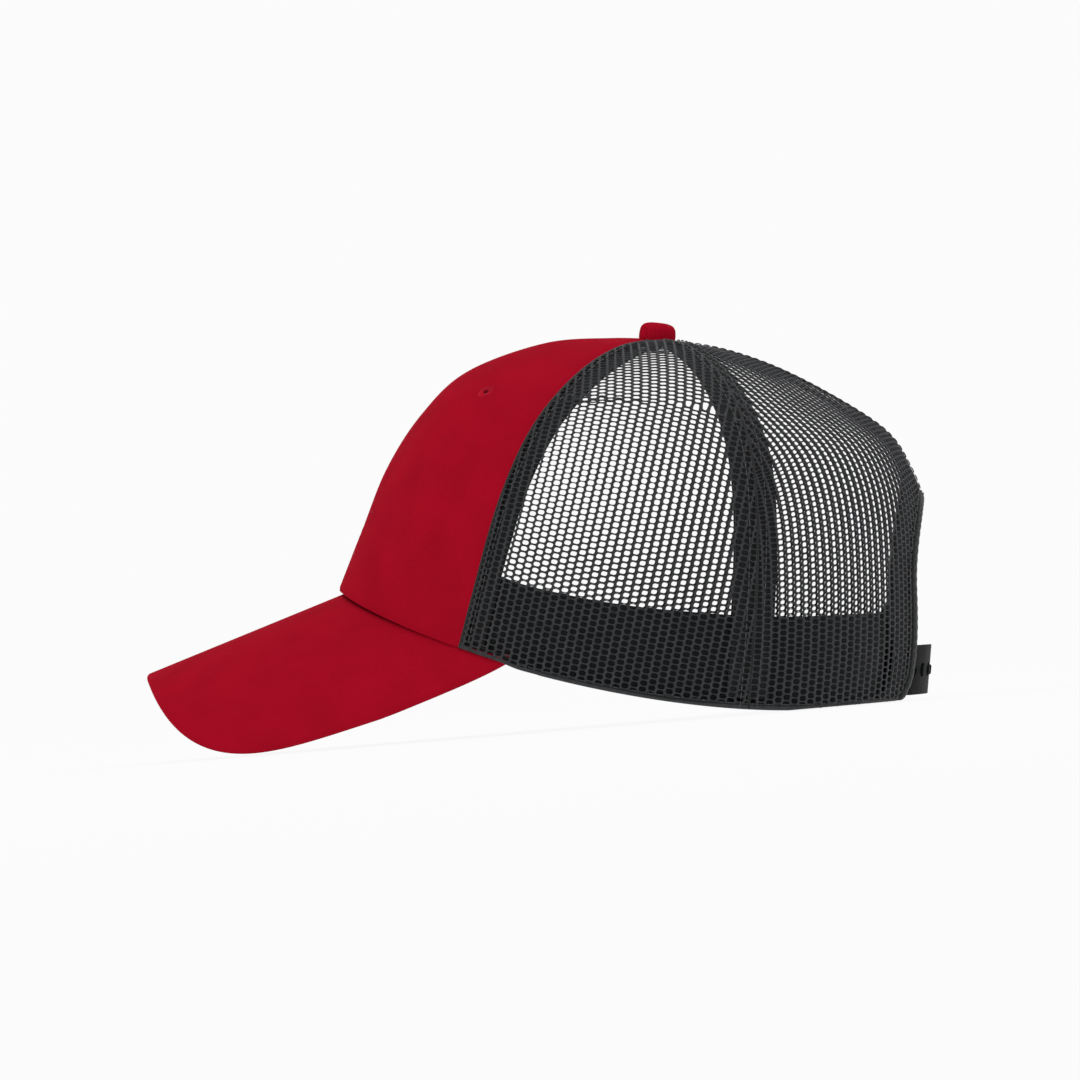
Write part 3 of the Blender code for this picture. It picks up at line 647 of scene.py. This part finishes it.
def knit_pattern(half_width, length):
    """The flat knit: unique points, their relief and the faces between hexagons and holes."""
    outer, hole = knit_cell()
    p, q = KNIT_PITCH_ACROSS, KNIT_PITCH_ALONG
    columns = int(half_width / p) + 1
    centres = []
    for i in range(-columns, columns + 1):
        for j in range(-2, int(length / q) + 3):
            centres.append((i * p, (j + 0.5 * (i % 2)) * q))
    centres = np.array(centres)
    rims = (centres[:, None] + outer[None]).reshape(-1, 2)
    holes = (centres[:, None] + hole[None]).reshape(-1, 2)
    keys = np.round(rims / 1e-6).astype(np.int64)
    _, first, back = np.unique(keys, axis=0, return_index=True, return_inverse=True)
    back = back.reshape(-1)
    points = np.vstack([rims[first], holes])
    relief = np.concatenate([np.full(len(first), KNIT_RELIEF), np.zeros(len(holes))])
    n = len(outer)
    corner = np.arange(len(centres) * n).reshape(-1, n)
    rim_id, hole_id = back[corner], corner + len(first)
    faces = np.stack([rim_id, np.roll(rim_id, -1, 1), np.roll(hole_id, -1, 1), hole_id], -1)
    return points, relief, faces.reshape(-1, 4)


def panel_edge(first, last, share, rear):
    """The angles of a mesh panel's two edges."""
    start = seam_angle(first, share)
    margin = PANEL_MARGIN / arc_per_angle(start, share)
    if rear:
        end = rear_angle(np.full_like(share, PANEL_MARGIN), share)
    else:
        end = seam_angle(last, share) - margin
    return start + margin, end


def knit_edge(height):
    """The knit's half width at the back opening, where the binding covers its edge."""
    return ARCH_RADIUS + KNIT_UNDER_BINDING + arch_flare(height)


def out_of_arch(angle, share):
    """Moves places inside the back opening out to its edge. Returns which were inside."""
    across = np.abs(crown(angle, share)[:, 0])
    height = share * REAR[2]
    edge = knit_edge(height)
    above = np.maximum(height - ARCH_SPRING, 0)
    reach = np.hypot(across, above)
    inside = (reach < edge) & (np.cos(angle) < 0)
    scale = np.where(inside, edge / np.maximum(reach, 1e-6), 1)
    moved_height = np.where(height > ARCH_SPRING, ARCH_SPRING + above * scale, height)
    moved_share = np.where(inside, moved_height / REAR[2], share)
    moved_angle = np.where(inside, rear_angle(across * scale, moved_share), angle)
    return moved_angle, moved_share, inside


def knit_hem(side, first, last, rear):
    """The panel's turned-up lower edge: points and faces of a narrow closely knitted band."""
    columns = 90
    points = []
    for height, depth in HEM_FOLD:
        share = np.full(columns + 1, height / REAR[2])
        start, end = panel_edge(first, last, share, rear)
        if rear:
            end = rear_angle(knit_edge(np.full_like(share, height)), share)
        angle = start + (end - start) * np.linspace(0, 1, columns + 1)
        points.append(layer(side * angle, share, depth + ripple(angle, share)))
    points = np.vstack(points)
    points[:, 2] = np.maximum(points[:, 2], 0.0002)
    return points, grid_faces(columns, len(HEM_FOLD) - 1)


def knit_panel(name, cad_node, side, first, last, rear=False):
    """Knit laid with its columns along the panel's middle line, trimmed at the panel's edges."""
    share = np.linspace(0, APEX_SHARE, 600)
    middle = (seam_angle(first, share) + seam_angle(last, share)) / 2
    line = crown(middle, share)
    run = run_along(line)
    along = np.gradient(line, run, axis=0)
    half_width = 0.062 if rear else 0.056
    flat, relief, faces = knit_pattern(half_width, run[-1])
    x, y = flat[:, 0], flat[:, 1]
    target = at_run(y, run, line)
    heading = at_run(y, run, along)
    target = target + heading * np.minimum(y, 0)[:, None]
    heading /= np.linalg.norm(heading, axis=1, keepdims=True)
    found = np.interp(y, run, share)

    def place(value):
        mid = (seam_angle(first, value) + seam_angle(last, value)) / 2
        return sideways(mid, np.minimum(value, 0.96), x)

    def error(value):
        return np.sum((crown(place(value), value) - target) * heading, 1)
    for _ in range(7):
        now = error(found)
        slope = (error(np.clip(found + 0.004, 0, 1)) - error(np.clip(found - 0.004, 0, 1))) / 0.008
        slope = np.where(np.abs(slope) < 0.02, 0.02, slope)
        found = np.clip(found - np.clip(now / slope, -0.08, 0.08), KNIT_FOOT_SHARE, APEX_SHARE)
    missed = error(found)
    outside = np.abs(missed) > 0.00012
    angle = place(found)
    start, end = panel_edge(first, last, found, rear)
    far = np.maximum(start - angle, angle - end) * arc_per_angle(angle, found) > KNIT_PITCH_ACROSS * 0.8
    outside |= (angle < start) | (angle > end)
    angle = np.clip(angle, start, np.maximum(start, end))
    lost = far | (np.abs(missed) > KNIT_PITCH_ALONG)
    if rear:
        before = crown(angle, found)
        angle, found, inside = out_of_arch(angle, found)
        lost |= np.linalg.norm(crown(angle, found) - before, axis=1) > KNIT_PITCH_ALONG * 1.1
        outside |= inside
    keep = (outside[faces].sum(1) < 3) & ~lost[faces].any(1)
    faces = faces[keep]
    used, renumbered = np.unique(faces, return_inverse=True)
    faces = renumbered.reshape(-1, 4)
    depth = KNIT_DEPTH - relief[used] + ripple(angle[used], found[used])
    points = layer(side * angle[used], found[used], depth)
    points[:, 2] = np.maximum(points[:, 2], 0.0002)
    hem_points, hem_faces = knit_hem(side, first, last, rear)
    faces = faces.tolist() + [tuple(len(points) + corner for corner in face) for face in hem_faces]
    mesh = mesh_from(name, np.vstack([points, hem_points]), faces)
    work = bmesh.new()
    work.from_mesh(mesh)
    bmesh.ops.dissolve_degenerate(work, dist=0.00004, edges=work.edges)
    work.to_mesh(mesh)
    work.free()
    face_out(mesh, INSIDE)
    item = thicken(new_piece(name, mesh, KNIT), KNIT_THICKNESS)
    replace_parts(item, cad_node)
    return item


# Tapes, stitches and the sweatband.

def beside_seam(seam, side, offset, share):
    """The angle at a distance to one side of a seam."""
    if seam is FRONT_SEAM:
        return np.where(offset < 0, -1, 1) * front_angle(np.abs(offset), share)
    if seam is BACK_SEAM:
        return np.where(offset < 0, -1, 1) * rear_angle(np.abs(offset), share)
    middle = seam_angle(seam, share)
    return side * middle + offset / arc_per_angle(middle, share)


def strip(name, cad_node, seam, side, depth):
    """Tape along a seam inside the crown, puffed a little between its stitch rows."""
    bottom = CREST_SHARE + 0.005 if seam is BACK_SEAM else SEAM_FOOT_SHARE

    def surface(u, v):
        share = bottom + (TAPE_TOP_SHARE - bottom) * v
        offset = (u - 0.5) * TAPE_WIDTH
        angle = beside_seam(seam, side, offset, share)
        puff = 0.00035 * np.cos(np.pi * np.clip(offset / NEEDLE_OFFSET / 2, -0.5, 0.5)) ** 2
        lay = depth + puff - 0.0003 * bell(np.abs(offset) - TAPE_WIDTH / 2, 0.0008)
        return layer(angle, share, lay), np.stack([offset, share * FRONT[2]], 1)
    item = cloth(name, 20, 90, surface, TAPE_THICKNESS, TAPE)
    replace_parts(item, cad_node)


def stitch_row(name, place, pitch, thread):
    """Thread in stitches along place(t) -> (points, normals), t from 0 to 1."""
    t = np.linspace(0, 1, 1200)
    line, normal = place(t)
    run = run_along(line)
    number = max(2, int(round(run[-1] / pitch)))
    rings, sides = 7, 6
    points, faces = [], []
    for k in range(number):
        middle, half = (k + 0.5) / number * run[-1], 0.5 * STITCH_LENGTH * run[-1] / number
        steps = np.linspace(-1, 1, rings)
        at = middle + steps * half
        centre = at_run(at, run, line)
        away = at_run(at, run, normal)
        away /= np.linalg.norm(away, axis=1, keepdims=True)
        ahead = np.gradient(centre, axis=0)
        ahead /= np.maximum(np.linalg.norm(ahead, axis=1, keepdims=True), 1e-9)
        across = np.cross(ahead, away)
        size = STITCH_RADIUS * np.sqrt(np.clip(1.04 - steps**4, 0.02, 1))
        centre = centre + away * (STITCH_RISE * (1 - steps**2))[:, None]
        for j in range(rings):
            for i in range(sides):
                turn = 2 * math.pi * i / sides
                points.append(centre[j] + size[j] * (across[j] * math.cos(turn) + away[j] * math.sin(turn)))
        base = k * rings * sides
        faces += [tuple(base + corner for corner in face) for face in tube_faces(sides, rings)]
    mesh = mesh_from(name, points, faces)
    recalculate(mesh)
    return new_piece(name, mesh, thread, sharp=80)


def seam_path(seam, side, offset, bottom, top, depth):
    def place(t):
        share = bottom + (top - bottom) * t
        angle = beside_seam(seam, side, offset, share)
        return layer(angle, share, np.full_like(t, depth)), outwards(angle, share)
    return place


def seam_stitches(name, seam, side, offset, bottom, depth=0.0, thread=THREAD):
    path = seam_path(seam, side, offset, bottom, STITCH_TOP_SHARE, depth)
    stitch_row(name, path, SEAM_STITCH, thread)


def tapes_and_stitches():
    strip("front_tape", "front_seam_tape", FRONT_SEAM, 1, FRONT_TAPE_DEPTH)
    strip("back_tape", "back_seam_tape", BACK_SEAM, 1, TAPE_DEPTH)
    for side, hand in ((1, "left"), (-1, "right")):
        for seam, part, depth in ((FRONT_SIDE_SEAM, "front_side_tape", FRONT_TAPE_DEPTH),
                                  (SIDE_REAR_SEAM, "side_rear_tape", TAPE_DEPTH)):
            strip(f"{part}_cloth_{hand}", f"{part}_{hand}", seam, side, depth)
        offset = side * NEEDLE_OFFSET
        seam_stitches(f"side_seam_stitches_front_{hand}", SIDE_REAR_SEAM, side, -offset, 0.0)
        seam_stitches(f"side_seam_stitches_rear_{hand}", SIDE_REAR_SEAM, side, offset, 0.0)
        seam_stitches(f"front_seam_stitches_{hand}", FRONT_SIDE_SEAM, side, offset, SEAM_FOOT_SHARE)
        seam_stitches(f"centre_seam_stitches_{hand}", FRONT_SEAM, 1, offset, SEAM_FOOT_SHARE,
                      0.0004, RED_THREAD)
        seam_stitches(f"back_seam_stitches_{hand}", BACK_SEAM, 1, offset, CREST_SHARE)


def seam_bead(name, seam, side, bottom, material):
    """The narrow turned edge that closes a seam between two panels."""
    t = np.linspace(0, 1, 160)
    line, normal = seam_path(seam, side, 1e-6, bottom, APEX_SHARE, BEAD_DEPTH)(t)
    ahead = np.gradient(line, axis=0)
    ahead /= np.linalg.norm(ahead, axis=1, keepdims=True)
    across = np.cross(ahead, normal)
    sides = 10
    points = []
    for j in range(len(t)):
        for i in range(sides):
            turn = 2 * math.pi * i / sides
            bulge = across[j] * math.cos(turn) + normal[j] * 0.7 * math.sin(turn)
            points.append(line[j] + BEAD_RADIUS * bulge)
    uv = np.stack([np.tile(np.arange(sides) * 0.0004, len(t)), np.repeat(t * 0.13, sides)], 1)
    mesh = mesh_from(name, points, tube_faces(sides, len(t)), uv)
    recalculate(mesh)
    return new_piece(name, mesh, material, sharp=80)


def band_end(height):
    share = np.maximum(height, 0.003) / REAR[2]
    return rear_angle(ARCH_RADIUS + BINDING_WIDTH * 0.6 + arch_flare(height), share)


def sweatband():
    """Cotton band: turned out under the rim, up the inside and over at its top edge."""
    path = np.array([(0.0010, 0.0020), (0.0014, 0.0012), (0.0024, 0.0009), (0.0036, 0.0014),
                     (BAND_DEPTH, 0.0030), (BAND_DEPTH + 0.0002, 0.0060), (BAND_DEPTH, 0.0140),
                     (BAND_DEPTH, 0.0240), (BAND_DEPTH, BAND_HEIGHT)])
    path, _ = by_length(spline(path), 41)

    def surface(u, v):
        depth = np.interp(v, np.linspace(0, 1, len(path)), path[:, 0])
        height = np.interp(v, np.linspace(0, 1, len(path)), path[:, 1])
        angle = (2 * u - 1) * band_end(height)
        length = FRONT[2] + (REAR[2] - FRONT[2]) * (1 - np.cos(angle)) / 2
        over_visor = np.clip((math.radians(68) - np.abs(angle)) / math.radians(8), 0, 1)
        low = np.clip(1 - height / 0.006, 0, 1) * over_visor
        slack = 0.00025 * np.sin(angle * 23) * np.sin(v * 3) + 0.0002 * np.sin(angle * 41 + 2)
        points = layer(angle, (height + 0.0015 * low) / length, depth + slack * v + 0.0022 * low)
        points[:, 2] = np.maximum(points[:, 2], 0.0012)
        return points, np.stack([angle * 0.09, height], 1)
    band = cloth("sweatband_cloth", 300, 40, surface, BAND_THICKNESS, COTTON)
    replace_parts(band, "sweatband")

    def row(height):
        def place(t):
            angle = (2 * t - 1) * band_end(np.array(height))
            length = FRONT[2] + (REAR[2] - FRONT[2]) * (1 - np.cos(angle)) / 2
            share = height / length
            inner = BAND_DEPTH + BAND_THICKNESS + 0.00005
            return layer(angle, share, np.full_like(t, inner)), -outwards(angle, share)
        return place
    stitch_row("sweatband_stitches", row(0.0045), 0.0032, THREAD)


def arch_path(t, offset, depth):
    """Along the back opening, from the right foot over the crest to the left foot."""
    crest_turn = ARCH_RADIUS * math.pi / 2
    half_path = ARCH_SPRING + crest_turn
    run = np.abs(2 * t - 1) * half_path
    from_crest = np.clip(run / crest_turn, 0, 1) * math.pi / 2
    radius = ARCH_RADIUS + offset
    height = ARCH_SPRING + radius * np.cos(from_crest) - np.maximum(0, run - crest_turn)
    share = np.maximum(height, 0.0009) / REAR[2]
    angle = rear_angle(radius * np.sin(from_crest) + arch_flare(height), share)
    angle = np.where(t < 0.5, -angle, angle)
    return layer(angle, share, depth), outwards(angle, share)


def arch_binding():
    """Tape folded over the mesh edge: a flat, round-edged tube along the opening."""
    stations, sides = 220, 20
    t = np.repeat(np.linspace(0, 1, stations), sides)
    turn = np.tile(np.linspace(0, 2 * np.pi, sides, endpoint=False), stations)
    c, s = np.cos(turn), np.sin(turn)
    half = BINDING_WIDTH / 2
    over = signed_power(c, 2 / 3.2)
    offset = half + half * over
    groove = 0.00016 * bell(over - 0.35, 0.25)
    depth = BINDING_MIDDLE - (BINDING_HALF - groove) * signed_power(s, 2 / 2.6)
    depth = depth + 0.00008 * np.sin(t * 330)
    points, _ = arch_path(t, offset, depth)
    points[:, 2] = np.maximum(points[:, 2], 0.0004)
    uv = np.stack([offset, t * 0.17], 1)
    mesh = mesh_from("arch_binding_tape", points, tube_faces(sides, stations), uv)
    recalculate(mesh)
    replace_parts(new_piece("arch_binding_tape", mesh, BINDING), "arch_binding")
    for name, offset in (("inner", 0.0026), ("outer", BINDING_WIDTH + 0.0020)):
        depth = BINDING_MIDDLE - BINDING_HALF if name == "inner" else 0.0
        stitch_row(f"arch_stitches_{name}",
                   lambda t, o=offset, d=depth: arch_path(0.004 + 0.992 * t, o, np.full_like(t, d)),
                   0.0029, THREAD)


def arch_tape():
    """The tape behind the knit along the back opening."""
    def surface(u, v):
        crest_turn = ARCH_RADIUS * math.pi / 2
        low = np.maximum(np.abs(2 * v - 1) * (ARCH_SPRING + crest_turn) - crest_turn, 0)
        above_band = ARCH_SPRING - low - BAND_HEIGHT
        width = ARCH_FACING + ARCH_FACING_FLARE * np.exp(-np.abs(above_band) / ARCH_FACING_FLARE)
        offset = BINDING_WIDTH * 0.5 + u * width
        points, _ = arch_path(v, offset, np.full_like(v, 0.0014))
        points[:, 2] = np.maximum(points[:, 2], 0.0008)
        return points, np.stack([offset, v * 0.17], 1)
    cloth("arch_facing", 6, 160, surface, 0.0004, TAPE)


# Visor.

def visor_point(across, along, depth):
    turn = across / VISOR_RADIUS
    radius = VISOR_RADIUS - depth
    drop = VISOR_RADIUS - radius * np.cos(turn)
    y = VISOR_RIDGE_Y - along * math.cos(VISOR_SLOPE) + drop * math.sin(VISOR_SLOPE)
    z = VISOR_RIDGE_Z - along * math.sin(VISOR_SLOPE) - drop * math.cos(VISOR_SLOPE)
    return np.stack([radius * np.sin(turn), y, z], -1)


def visor_outer(inset):
    turn = np.linspace(-VISOR_CORNER, VISOR_CORNER, 2001)
    power = 2 / VISOR_SQUARENESS
    reach = np.where(np.cos(turn) > 0, VISOR_REACH - inset, VISOR_TAIL)
    along = reach * signed_power(np.cos(turn), power)
    taper = 1 - VISOR_TAPER * np.clip(along / VISOR_REACH, 0, 1)
    across = (VISOR_HALF_WIDTH - inset) * taper * signed_power(np.sin(turn), power)
    return np.stack([across, along], 1)


def visor_inner(depth):
    angle = np.linspace(-CROWN_CORNER, CROWN_CORNER, 801)
    wall = layer(angle, np.zeros_like(angle), np.full_like(angle, VISOR_UNDERLAP))
    turn, _, along = visor_place(wall[:, 0], wall[:, 1], VISOR_RADIUS - depth)
    return np.stack([turn * VISOR_RADIUS, along], 1)


def visor_cloth(name, cad_node, upper):
    """One cover of the visor, rolled over the board's edge to the seam at its middle."""
    columns, flat_rows, edge_rows = 180, 46, 10
    edge = VISOR_THICKNESS / 2
    base = 0.0 if upper else VISOR_THICKNESS
    hand = 1 if upper else -1
    inner = by_length(visor_inner(base), columns + 1)[0]
    limit = np.abs(visor_outer(edge)[:, 0]).max() - 0.0015
    inner[:, 0] = np.clip(inner[:, 0], -limit, limit)
    points, uv = [], []
    for j in range(flat_rows + edge_rows + 1):
        if j <= flat_rows:
            v, inset, down = j / flat_rows, edge, 0.0
        else:
            turn = (j - flat_rows) / edge_rows * math.radians(86)
            v, inset, down = 1.0, edge * (1 - math.sin(turn)), edge * (1 - math.cos(turn))
        outer = by_length(visor_outer(inset), columns + 1)[0]
        flat = inner + (outer - inner) * v
        points.append(visor_point(flat[:, 0], flat[:, 1], base + hand * down))
        uv.append(flat)
    points, uv = np.vstack(points), np.vstack(uv)
    mesh = mesh_from(name, points, grid_faces(columns, flat_rows + edge_rows), uv)
    middle = Vector(visor_point(np.array(0.0), np.array(0.02), VISOR_THICKNESS / 2))
    work = bmesh.new()
    work.from_mesh(mesh)
    work.normal_update()
    top = max(work.faces, key=lambda f: -(f.calc_center_median() - middle).length)
    if top.normal.z * hand < 0:
        bmesh.ops.reverse_faces(work, faces=work.faces)
        work.to_mesh(mesh)
    work.free()
    item = thicken(new_piece(name, mesh, TWILL, sharp=70), 0.0005)
    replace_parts(item, cad_node)


# Button.

def button():
    base = Matrix.Translation((0, BUTTON_AXIS_Y, BUTTON_HEIGHT)) @ Matrix.Rotation(math.radians(-11), 4, "X")
    profile = spline([(0.0001, 0.0054), (0.0030, 0.00525), (0.0050, 0.0046), (0.0060, 0.0034),
                      (0.0063, 0.0018), (0.0063, 0.0002), (0.0061, -0.0010), (0.0054, -0.0014)], 8)
    sides = 96
    points, uv = [], []
    for radius, height in profile:
        for i in range(sides):
            turn = 2 * math.pi * i / sides
            pull = 1 + 0.012 * math.cos(turn * 12) * max(0, 1 - height / 0.003)
            points.append((radius * pull * math.cos(turn), radius * pull * math.sin(turn), height))
            uv.append((radius * math.cos(turn), radius * math.sin(turn)))
    faces = grid_faces(sides, len(profile) - 1, wrap=True)
    faces.append(tuple(range(sides)))
    mesh = mesh_from("button_cloth", points, faces, np.array(uv))
    mesh.transform(base)
    face_out(mesh, base.translation)
    item = thicken(new_piece("button_cloth", mesh, TWILL), 0.0006)
    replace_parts(item, "button_cover")


# Straps.

def strap_frame():
    back = STRAP_RADIUS * math.cos(STRAP_LEAN)
    rise = STRAP_RADIUS * math.sin(STRAP_LEAN)
    origin = Vector((0, STRAP_FOOT_Y - back, STRAP_FOOT_Z + rise))
    return Matrix.Translation(origin) @ Matrix.Rotation(-STRAP_LEAN, 4, "X")


def on_arc(run, height, out):
    turn = run / STRAP_RADIUS
    radius = STRAP_RADIUS + out
    y = radius * math.cos(turn)
    level = (STRAP_RADIUS - y) * math.tan(STRAP_LEAN)
    return Vector((radius * math.sin(turn), y, height - level))


def strap_loops(holed):
    """The strap laid flat: sewn end at +x, round tip at -x."""
    end, tip, r = STRAP_FLEX + ROOT_LENGTH, -STRAP_TIP, STRAP_TIP_RADIUS
    outline = [(end, 0.0)]
    for turn in np.linspace(-math.pi / 2, 0, 12):
        outline.append((tip + r - r * math.cos(turn), r + r * math.sin(turn)))
    for turn in np.linspace(0, math.pi / 2, 12):
        outline.append((tip + r - r * math.cos(turn), STRAP_HEIGHT - r + r * math.sin(turn)))
    outline.append((end, STRAP_HEIGHT))
    loops = [outline]
    if holed:
        for number in range(SNAP_FIRST, SNAP_LAST + 1):
            ring = np.linspace(0, 2 * math.pi, 28, endpoint=False)
            loops.append([(number * SNAP_PITCH + HOLE_RADIUS * math.cos(a),
                           STRAP_HEIGHT / 2 + HOLE_RADIUS * math.sin(a)) for a in ring])
    return loops


def plate(loops):
    """A filled outline with rounded edges, sliced so that it can bend."""
    curve = bpy.data.curves.new("plate", "CURVE")
    curve.dimensions = "2D"
    curve.fill_mode = "BOTH"
    curve.extrude = STRAP_THICKNESS / 2 - 0.0002
    curve.bevel_depth = 0.0002
    curve.bevel_resolution = 2
    curve.offset = -0.0002
    for loop in loops:
        line = curve.splines.new("POLY")
        line.points.add(len(loop) - 1)
        line.use_cyclic_u = True
        for point, (x, y) in zip(line.points, loop):
            point.co = (x, y, 0, 1)
    guide = add_object("plate", curve)
    mesh = bpy.data.meshes.new_from_object(guide.evaluated_get(bpy.context.evaluated_depsgraph_get()))
    bpy.data.objects.remove(guide)
    work = bmesh.new()
    work.from_mesh(mesh)
    bmesh.ops.remove_doubles(work, verts=work.verts, dist=0.00001)
    low, high = min(v.co.x for v in work.verts), max(v.co.x for v in work.verts)
    for x in np.arange(low + 0.001, high, 0.0015):
        everything = work.verts[:] + work.edges[:] + work.faces[:]
        bmesh.ops.bisect_plane(work, geom=everything, dist=0.00001, plane_co=(x, 0, 0), plane_no=(1, 0, 0))
    bmesh.ops.recalc_face_normals(work, faces=work.faces)
    work.to_mesh(mesh)
    work.free()
    return mesh


def strap(name, cad_node, side, depth, holed):
    """A strap from its sewn end to its tip, which bends where the free part starts."""
    mesh = plate(strap_loops(holed))
    base = strap_frame()
    for vertex in mesh.vertices:
        run, height, thick = vertex.co.x, vertex.co.y, vertex.co.z
        free = base @ on_arc(run, height, -depth - STRAP_THICKNESS / 2 + thick)
        share = (STRAP_FOOT_Z + 0.0008 + height) / REAR[2]
        angle = rear_angle(max(run, 0.02), share)
        sewn = Vector(layer(angle, share, np.array(0.0024 + (0.0004 if not holed else 0.0) - thick)))
        place = free.lerp(sewn, float(ease(np.clip((run - STRAP_FLEX + 0.003) / 0.009, 0, 1))))
        vertex.co = (side * place.x, place.y, place.z)
    recalculate(mesh)
    item = new_piece(name, mesh, STRAP_PLASTIC, body=None, sharp=45)
    if not holed:
        add_pegs(item, side, depth)
    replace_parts(item, cad_node, f"{cad_node}_root")
    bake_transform(item)


def add_pegs(item, side, depth):
    """Round-headed pegs, standing out of the strap."""
    length = STRAP_LAYER_GAP + STRAP_THICKNESS + 0.0006
    profile = [(PEG_RADIUS + 0.0003, -0.0001), (PEG_RADIUS, 0.0003), (PEG_RADIUS - 0.00005, length * 0.5),
               (PEG_RADIUS, length - 0.0005), (PEG_RADIUS - 0.0002, length - 0.00015),
               (PEG_RADIUS - 0.0006, length)]
    sides = 28
    work = bmesh.new()
    work.from_mesh(item.data)
    base = strap_frame()
    for number in range(SNAP_FIRST, SNAP_LAST + 1):
        run = number * SNAP_PITCH
        seat = Matrix.Translation(on_arc(run, STRAP_HEIGHT / 2, -depth)) @ (
            Matrix.Rotation(-run / STRAP_RADIUS, 4, "Z") @ Matrix.Rotation(-math.pi / 2, 4, "X"))
        rings = []
        for radius, height in profile:
            ring = []
            for i in range(sides):
                turn = 2 * math.pi * i / sides
                place = base @ seat @ Vector((radius * math.cos(turn), radius * math.sin(turn), height))
                ring.append(work.verts.new((side * place.x, place.y, place.z)))
            rings.append(ring)
        for low, high in zip(rings, rings[1:]):
            for i in range(sides):
                m = (i + 1) % sides
                work.faces.new((low[i], low[m], high[m], high[i]))
        work.faces.new(rings[-1])
        work.faces.new(list(reversed(rings[0])))
    bmesh.ops.recalc_face_normals(work, faces=work.faces)
    for face in work.faces:
        face.smooth = True
    work.to_mesh(item.data)
    work.free()
    item.data.set_sharp_from_angle(angle=math.radians(45))


def bar_tacks():
    """Short blocks of stitches that hold the straps to the mesh."""
    for side, hand in ((1, "left"), (-1, "right")):
        for number, run in enumerate((0.0415, 0.0465)):
            def place(t, run=run):
                share = (0.0022 + 0.0165 * t) / REAR[2]
                angle = side * rear_angle(np.full_like(t, run), share)
                return layer(angle, share, np.zeros_like(t)), outwards(angle, share)
            stitch_row(f"strap_stitches_{hand}_{number}", place, 0.0026, THREAD)


def build():
    for side, hand in ((1, "left"), (-1, "right")):
        front_panel(side, hand)
        buckram(side, hand)
        eyelet(side, hand)
        knit_panel(f"side_knit_{hand}", f"side_mesh_{hand}", side, FRONT_SIDE_SEAM, SIDE_REAR_SEAM)
        knit_panel(f"rear_knit_{hand}", f"rear_mesh_{hand}", side, SIDE_REAR_SEAM, BACK_SEAM, rear=True)
        seam_bead(f"front_side_seam_{hand}", FRONT_SIDE_SEAM, side, 0.0, TAPE)
        seam_bead(f"side_rear_seam_{hand}", SIDE_REAR_SEAM, side, 0.004, TAPE)
    seam_bead("front_seam", FRONT_SEAM, 1, 0.01, TWILL)
    seam_bead("back_seam", BACK_SEAM, 1, CREST_SHARE, TAPE)
    tapes_and_stitches()
    sweatband()
    arch_binding()
    arch_tape()
    visor_cloth("visor_top_cloth", "visor_top_cover", upper=True)
    visor_cloth("visor_under_cloth", "visor_under_cover", upper=False)
    button()
    strap("hole_strap_moulding", "hole_strap", 1, 0.0, holed=True)
    strap("peg_strap_moulding", "peg_strap", -1, STRAP_THICKNESS + STRAP_LAYER_GAP, holed=False)
    bar_tacks()


# Camera, floor and light.

VIEW_ROLL = math.radians(4.8)
VIEW_RISE = math.radians(0.1)
VIEW_WIDTH = 0.3769
LENS = 1500.0
SENSOR = 36.0
VIEW_TARGET = Vector((0, 0.0032, 0.0662))
LIGHT_TARGET = Vector((0, 0, 0.07))
FLOOR_SHADE = 0.06
FLOOR_GLOW = 0.91
FLOOR_REACH = 30.0
FLOOR_DROP = 0.0003
SKY_STRENGTH = 0.97


def camera():
    data = bpy.data.cameras.new("camera")
    data.lens = LENS
    data.sensor_width = SENSOR
    data.clip_start, data.clip_end = 0.1, 100
    item = add_object("camera", data)
    side = Vector((1, 0, 0))
    upright = Vector((0, math.sin(VIEW_ROLL), math.cos(VIEW_ROLL)))
    back = side * math.cos(VIEW_RISE) + upright * math.sin(VIEW_RISE)
    top = upright * math.cos(VIEW_RISE) - side * math.sin(VIEW_RISE)
    right = top.cross(back)
    distance = VIEW_WIDTH * LENS / SENSOR
    turn = Matrix((right, top, back)).transposed().to_4x4()
    item.matrix_world = Matrix.Translation(VIEW_TARGET + back * distance) @ turn
    bpy.context.scene.camera = item


def area_light(name, place, size, power):
    data = bpy.data.lights.new(name, "AREA")
    data.size = size
    data.energy = power
    item = add_object(name, data)
    aim = LIGHT_TARGET - Vector(place)
    item.matrix_world = Matrix.Translation(place) @ aim.to_track_quat("-Z", "Y").to_matrix().to_4x4()


def studio():
    mesh = bpy.data.meshes.new("floor")
    corners = [(x * FLOOR_REACH, y * FLOOR_REACH, 0) for x, y in ((-1, -1), (1, -1), (1, 1), (-1, 1))]
    mesh.from_pydata(corners, [], [(0, 1, 2, 3)])
    floor = add_object("floor", mesh)
    floor.location.z = -FLOOR_DROP
    material, _, shader = principled("floor", (FLOOR_SHADE,) * 3, 0.9, specular=0.0)
    put(shader, {"Emission Color": (1, 1, 1, 1), "Emission Strength": FLOOR_GLOW})
    mesh.materials.append(material)
    world = bpy.data.worlds.new("studio")
    bpy.context.scene.world = world
    world.use_nodes = True
    put(world.node_tree.nodes["Background"], {"Color": (1, 1, 1, 1), "Strength": SKY_STRENGTH})
    area_light("key", (2.4, -1.6, 2.6), 2.6, 8)
    area_light("top", (0.2, 0.3, 2.6), 2.0, 5)
    bpy.context.scene.view_settings.view_transform = "Standard"


def metal():
    METAL.use_nodes = True
    put(METAL.node_tree.nodes["Principled BSDF"],
        {"Base Color": (0.45, 0.45, 0.46, 1), "Metallic": 1.0, "Roughness": 0.35})
    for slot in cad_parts["button_rivet"].material_slots:
        slot.material = METAL


build()
metal()
camera()
studio()
